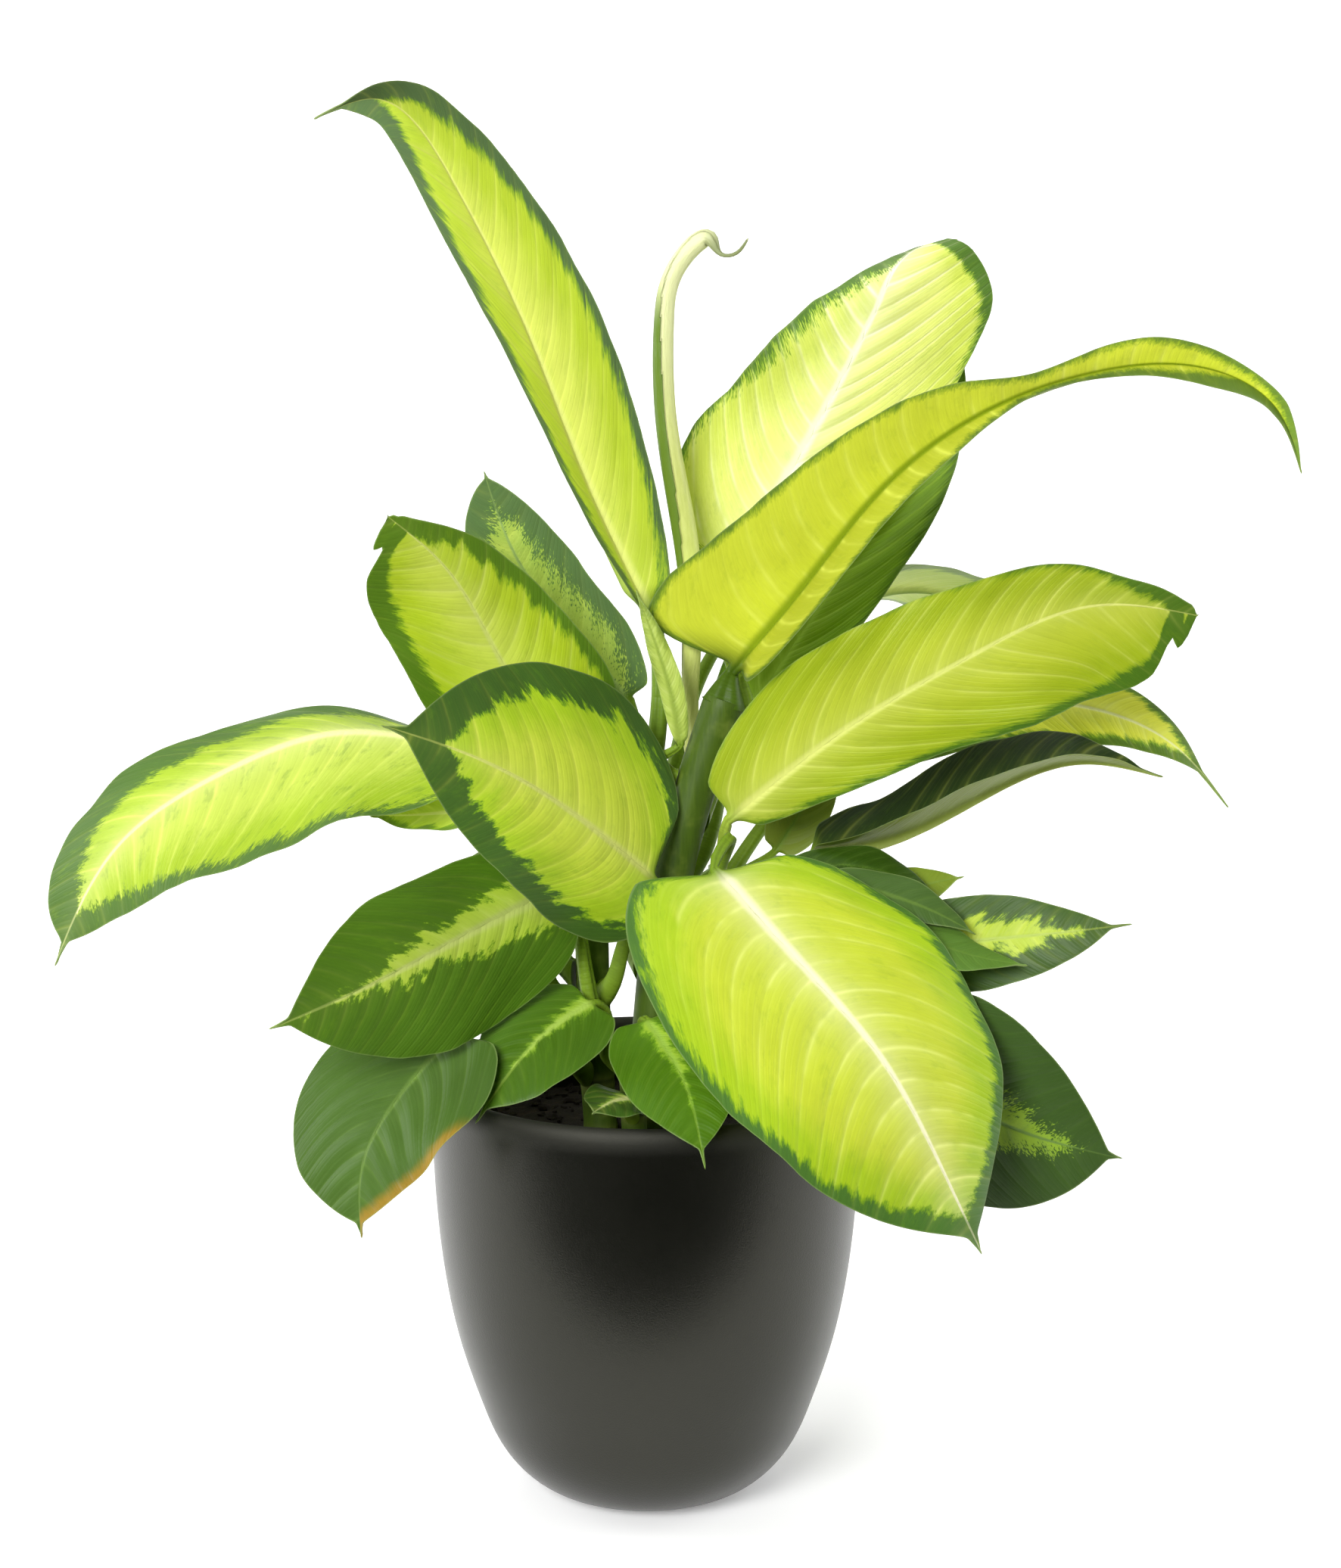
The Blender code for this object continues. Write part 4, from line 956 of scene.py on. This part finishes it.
# Low leaves at the left, older and mostly dark green, with a little lime feathered along the rib. The lowest
# hangs over the pot's side and has dried to ochre along its right edge.
leaf_piece(
    "low_left", on=("left", 222, 0), stalk=((-29, -25, 268),),
    rib=((-36, -40, 296), (-72, -60, 282), (-113, -80, 264), (-162, -95, 245)),
    face=(28, -2), half=(46, 36), widest=(0.44, 0.56), tip=((2.4, 0.9), (2.1, 1.0)), lobe=(8, 6),
    wave=(2, 2, 0.2), tail=0.05, margin=4, reach=17, reach_end=0.8, vein_gap=11.0,
    look=dict(dark=(76, 114, 24), mid=(108, 150, 28), lime=(172, 200, 52), pale=(200, 214, 90),
              rib=(190, 204, 110), vein=(190, 210, 90), finger=11.0, veins=0.32, rib_width=1.6, glow=0.6))
leaf_piece(
    "hanging_left", on=("left", 204, -42), stalk=((-48, -22, 234), (-68, -33, 240)),
    rib=((-84, -46, 231), (-109, -66, 206), (-124, -80, 180), (-125, -86, 148)),
    face=(-38, 37), half=(42, 53), tip=((2.3, 0.9), (2.8, 0.85)), lobe=8, wave=(2, 2, 0.2), tail=0.05,
    margin=4, reach=0, dry=(0, 0.35, 1.2, 8), quilt=0.7,
    look=dict(dark=(68, 98, 34), mid=(76, 108, 34), lime=(90, 124, 38), pale=(98, 132, 42),
              rib=(122, 152, 70), vein=(118, 150, 66), veins=0.8, halo=0.45, glow=0.2, finger=2.0,
              relief=-0.6))
leaf_piece(
    "low_centre", on=("front", 212, -60), stalk=((-17, -32, 234),), radii=(3.2, 2),
    rib=((-23, -39, 243), (-43, -54, 233), (-74, -81, 199)),
    face=(-16, 51), half=27, lobe=4, rows=80, tail=0.08, margin=4, reach=6, reach_end=0.7,
    vein_gap=8.0,
    look=dict(dark=(66, 102, 16), mid=(90, 130, 22), lime=(136, 168, 44), pale=(160, 184, 62),
              rib=(164, 192, 84), vein=(150, 182, 70), finger=5.0, glow=0.3))
leaf_piece(
    "over_rim", on=("front", 203, 30), stalk=((-2, -39, 230),), radii=(3.2, 2),
    rib=((0, -49, 238), (10, -70, 228), (19, -95, 216), (26, -116, 189)),
    face=(-12, 67), half=(25, 27), widest=0.45, lobe=4, rows=80, tail=0.08, margin=4, reach=5,
    reach_end=0.75, vein_gap=8.0,
    look=dict(dark=(72, 112, 14), mid=(100, 144, 22), lime=(156, 188, 50), pale=(176, 204, 66),
              rib=(150, 184, 70), vein=(150, 184, 70), finger=4.5, glow=0.3))

# Low leaves at the right: a broad dark speckled one behind the front leaf, and a pointed one above it.
leaf_piece(
    "low_right", on=("right", 196, 64), stalk=((60, -20, 228),), radii=(4, 2.4),
    rib=((106, -24, 216), (135, -36, 200), (158, -46, 189), (212, -60, 176)),
    face=(-27, -8), half=(52, 46), widest=(0.4, 0.45), tip=((2.0, 0.9), (2.3, 0.9)), lobe=(6, -8), tail=0.04,
    margin=9, reach=(26, 24), reach_end=0.85,
    look=dict(dark=(56, 82, 30), mid=(72, 104, 32), lime=(136, 168, 46), pale=(154, 182, 56),
              rib=(106, 138, 60), vein=(110, 140, 60), finger=9.0, speckle=5.0, veins=0.3, glow=0.15))
leaf_piece(
    "pointed_right", on=("right", 212, 112), stalk=((60, 4, 250),), radii=(3.2, 2),
    rib=((92, -5, 253), (151, -20, 266), (186, -30, 272), (218, -30, 276)),
    face=(-22, 19), half=(21, 23), lobe=4, rows=90, tail=0.06, margin=3, reach=(20, 16), reach_end=0.86,
    vein_gap=10.0,
    look=dict(dark=(67, 94, 42), mid=(102, 136, 36), lime=(180, 202, 54), pale=(198, 214, 76),
              rib=(180, 200, 92), finger=8.0, veins=0.15, glow=0.35))

# Small leaves: young ones in the middle that fill the gaps between the stalks, a narrow one under the leaf
# at the far left, and one at the soil.
small = dict(radii=(2.8, 1.8), rows=60, columns=16, vein_gap=8.0)
plain_green = dict(mid=(88, 122, 40), lime=(104, 140, 44), pale=(116, 150, 50), rib=(118, 150, 60),
                   vein=(120, 152, 60), veins=0.35, glow=0.15, finger=1.5)
leaf_piece(
    "inner_dark", on=("right", 257, 76), stalk=((48, -2, 281),),
    rib=((66, 2, 294), (85, -2, 297), (110, -5, 294), (133, -6, 283)),
    face=(-5, 60), half=(14, 9), reach=0, look=dict(plain_green, dark=(48, 76, 14), rib=(70, 100, 24)),
    **small)
leaf_piece(
    "inner_curled", on=("right", 230, 52), stalk=((48, -12, 274),),
    rib=((84, -16, 293), (111, -21, 287), (131, -25, 280), (148, -27, 271)),
    face=(5, 45), half=(12, 9), reach=0,
    look=dict(plain_green, dark=(70, 98, 42), mid=(76, 106, 42)), **small)
leaf_piece(
    "inner_tip", on=("right", 226, 120), stalk=((65, 12, 262),),
    rib=((90, 8, 275), (120, 6, 284), (145, 5, 290)), face=(-5, 40), half=12, reach=0,
    look=dict(plain_green, dark=(122, 142, 44)), **small)
leaf_piece(
    "inner_small", on=("right", 213, 50), stalk=((55, -20, 254),),
    rib=((88, -28, 273), (114, -33, 273), (144, -38, 264), (170, -42, 260)),
    face=(0, 70), half=(16, 15), reach=0, look=dict(plain_green, dark=(88, 124, 46)), **small)
leaf_piece(
    "underside_right", on=("right", 272, 128), stalk=((44, 26, 286),),
    rib=((60, 34, 296), (70, 39, 311), (79, 44, 331), (85, 48, 349)),
    face=(0, 10), half=14, lobe=2, fold=(20, 20, 10, 10), reach=0,
    look=dict(plain_green, dark=(120, 136, 46)), **small)
leaf_piece(
    "under_far_left", on=("left", 230, -98), stalk=((-52, 2, 288),),
    rib=((-76, 6, 322), (-101, 6, 319), (-125, 2, 319)), face=(0, 60), half=12, lobe=2,
    margin=1, look=dict(dark=(110, 140, 50)), **small)
leaf_piece(
    "inner_pale", on=("main", 333, -80),
    rib=((16, 1, 352), (12, 1, 374), (4, 2, 400), (-4, 4, 422)), face=(0, 10), half=(5, 6), lobe=1,
    margin=0,
    look=dict(dark=(128, 150, 60), mid=(150, 172, 70), lime=(176, 196, 88), pale=(186, 204, 100),
              rib=(150, 172, 70), vein=(190, 206, 110), glow=0.1), **small)
leaf_piece(
    "at_soil", on=("front", 190, -10),
    rib=((-6, -48, 200), (-14, -60, 202), (-23, -75, 201)), face=(0, 60), half=14, lobe=2, reach=5,
    look=dict(dark=(56, 92, 22), lime=(146, 180, 56)), **small)

# Leaves at the back, of the same kind as those at the front. They close the plant's crown all round.
behind = dict(wave=(2, 2, 0.2), rows=80, columns=18)
leaf_piece(
    "back_high", on=("back", 308, 165), stalk=((24, 66, 370),),
    rib=((45, 85, 405), (75, 108, 465), (100, 128, 508), (120, 148, 532)),
    face=(180, 20), half=40, lobe=8, fold=(8, 8, 0, 0), **behind)
leaf_piece(
    "back_left", on=("back", 290, -130), stalk=((-15, 55, 350),),
    rib=((-30, 70, 375), (-62, 100, 405), (-95, 130, 415), (-130, 155, 400)),
    face=(-150, 55), half=42, lobe=8, fold=(6, 6, 0, 0), margin=10, look=dict(finger=7.0), **behind)
leaf_piece(
    "back_right", on=("back", 278, 100), stalk=((38, 66, 335),),
    rib=((62, 92, 372), (100, 118, 402), (145, 140, 403), (190, 155, 378)),
    face=(150, 55), half=40, lobe=8, fold=(6, 6, 0, 0), **behind)
leaf_piece(
    "back_low_left", on=("back", 240, -140), stalk=((-18, 58, 285),),
    rib=((-35, 75, 292), (-51, 110, 273), (-60, 140, 235), (-62, 158, 192)),
    face=(-160, 40), half=44, lobe=8, fold=(5, 5, 0, 0), reach=17, look=dict(finger=7.0), **behind)
leaf_piece(
    "back_low_right", on=("back", 225, 140), stalk=((25, 62, 275),),
    rib=((45, 80, 280), (75, 110, 262), (100, 132, 230), (115, 145, 190)),
    face=(155, 40), half=38, lobe=8, fold=(5, 5, 0, 0), reach=17, look=dict(finger=7.0), **behind)

# Rolled leaf. The youngest leaf still stands rolled up as a pale spike with a hooked tip, one edge lapped
# over the other in a long spiral.
ROLL_TURN = 48
rolled_route = ((21, 23, 395), (18.5, 17, 442), (9.5, 15, 497), (8.5, 13, 544), (17, 11, 571), (29, 8, 579),
                (33, 5, 573), (40, 2, 573), (45, 0, 579))
rolled_radii = (4.3, 5.5, 4.8, 4.4, 4.2, 3.3, 1.1, 0.8, 0.5)


def rolled_finish():
    made, tree, shader = new_finish("leaf_young", 0.4, 0.4)
    from_seam, along, _ = attribute_parts(tree, "roll_place")
    where = {0: times(from_seam, 9.0), 1: times(along, 0.05)}
    streak = noise(add_node(tree, "CombineXYZ", where).outputs[0], 2.0, 3.0, 0.6)
    colour = blend(streak, (0.50, 0.57, 0.11), (0.72, 0.77, 0.26))
    colour = blend(times(smooth_step(along, 120.0, 235.0), 0.7), colour, (0.92, 0.94, 0.56))
    flap = times(smooth_step(from_seam, 0.66, 0.70), smooth_step(along, 235.0, 205.0))
    colour = blend(flap, colour, (0.13, 0.22, 0.02))
    tip = smooth_step(along, 248.0, 260.0)
    colour = blend(times(tip, 0.8), colour, (0.14, 0.19, 0.05))
    tree.links.new(colour, shader.inputs["Base Color"])
    raise_surface(shader, streak, 0.0005)
    return made


def rolled_mesh():
    """A tube whose radius grows by a seventh round the turn and drops back at a seam that winds along it."""
    foot, away = foot_of("main", 340, -165)
    start = [(*foot, 4), (*(foot + away * FOOT_REACH + (0, 0, FOOT_REACH)), 4)]
    line = spline(start + [(*p, r) for p, r in zip(rolled_route, rolled_radii)], np.linspace(0, 1, 150))
    path, radii = line[:, :3], line[:, 3]
    length = length_along(path)[:, None]
    seam = np.radians(268 - 600 * (length / length[-1] - 0.57) ** 2)
    share = ((turn_steps(ROLL_TURN) - seam) / (2 * np.pi)) % 1.0
    size = np.maximum(radii, 0.5)[:, None] * (0.93 + 0.14 * share ** 0.6)
    rings = tube(path, size, len(path) // 2, ROLL_TURN)
    points, faces = capped(rings, [path[0], path[-1] + TIP_POINT * tangents(path)[-1]])
    place = np.stack([share, np.broadcast_to(length, share.shape), 0 * share], -1).reshape(-1, 3)
    return points, faces, np.vstack([place, place[:2]])


rolled_points, rolled_faces, roll_place = rolled_mesh()
add_piece("rolled_leaf", rolled_points, rolled_faces, rolled_finish(), ("leaf_rolled",), "leaf_young",
          {"roll_place": roll_place})

# Studio. A plain pale floor that curves up into a wall behind, under soft lights: a tall one at either side,
# a wide one above, one at the front on the left, and one that shines on the wall.
def studio_floor():
    """A strip 3 m wide: flat from 0.25 m in front to 2 m behind, then a quarter circle up to a wall."""
    turn = np.radians(np.linspace(0, 90, 30))
    run = np.concatenate([[-0.25, 0.0], 2 + 2 * np.sin(turn), [4.0]])
    rise = np.concatenate([[0.0, 0.0], 2 - 2 * np.cos(turn), [6.0]])
    corners = [(x, y, z) for y, z in zip(run.tolist(), rise.tolist()) for x in (-1.5, 1.5)]
    faces = [[2 * k, 2 * k + 1, 2 * k + 3, 2 * k + 2] for k in range(len(run) - 1)]
    mesh = bpy.data.meshes.new("studio_floor")
    mesh.from_pydata(corners, [], faces)
    mesh.shade_smooth()
    made, _, shader = new_finish("floor_pale", 0.1, 0.9)
    shader.inputs["Base Color"].default_value = (0.93, 0.93, 0.93, 1.0)
    shader.inputs["Emission Color"].default_value = (1.0, 1.0, 1.0, 1.0)
    shader.inputs["Emission Strength"].default_value = 0.25
    mesh.materials.append(made)
    new_object("studio_floor", mesh)


def soft_light(name, place, target, size, power, spread):
    data = bpy.data.lights.new(name, "AREA")
    data.shape = "RECTANGLE"
    data.size, data.size_y = size
    data.energy = power
    data.spread = math.radians(spread)
    made = new_object(name, data)
    made.location = place
    way = unit(np.array(target, float) - place)
    made.rotation_euler = (math.acos(-way[2]), 0, math.atan2(way[1], way[0]) - math.pi / 2)


studio_floor()
soft_light("light_above", (-0.25, 0.0, 1.9), (0, 0.1, 0.3), (1.4, 1.4), 3.8, 110)
soft_light("light_left", (-1.3, 0.3, 0.6), (0, 0, 0.25), (0.9, 1.4), 5.2, 120)
soft_light("light_right", (1.3, 0.3, 0.6), (0, 0, 0.25), (0.9, 1.4), 5.2, 120)
soft_light("light_front", (-0.8, -2.0, 1.25), (0, 0, 0.4), (1.2, 1.0), 14.5, 80)
soft_light("light_wall", (0, 1.1, 2.4), (0, 3.0, 0.5), (3.0, 1.0), 60, 150)
world = bpy.data.worlds.new("studio")
world.use_nodes = True
ways = add_node(world.node_tree, "TexCoord").outputs["Generated"]
depth = add_node(world.node_tree, "SeparateXYZ", {0: ways}).outputs[1]
brighter_behind = {"Value": depth, "From Min": -0.9, "From Max": 0.1, "To Min": 0.02, "To Max": 0.32}
level = add_node(world.node_tree, "MapRange", brighter_behind).outputs[0]
seen = add_node(world.node_tree, "LightPath").outputs["Is Camera Ray"]
background = world.node_tree.nodes["Background"]
background.inputs["Color"].default_value = (1.0, 1.0, 1.0, 1.0)
world.node_tree.links.new(maths("MAXIMUM", level, seen), background.inputs["Strength"])
bpy.context.scene.world = world
bpy.context.scene.view_settings.view_transform = "Standard"

# Camera. A long lens 1.57 m in front of the pot's middle and 0.64 m above the floor, which looks 11 degrees
# down, so that the soil shows over the pot's near rim.
lens = bpy.data.cameras.new("camera")
lens.lens = 80.79
lens.sensor_width = 36
camera = new_object("camera", lens)
camera.location = (0.0112, -1.5706, 0.6397)
camera.rotation_euler = (math.radians(79), 0, 0)
bpy.context.scene.camera = camera
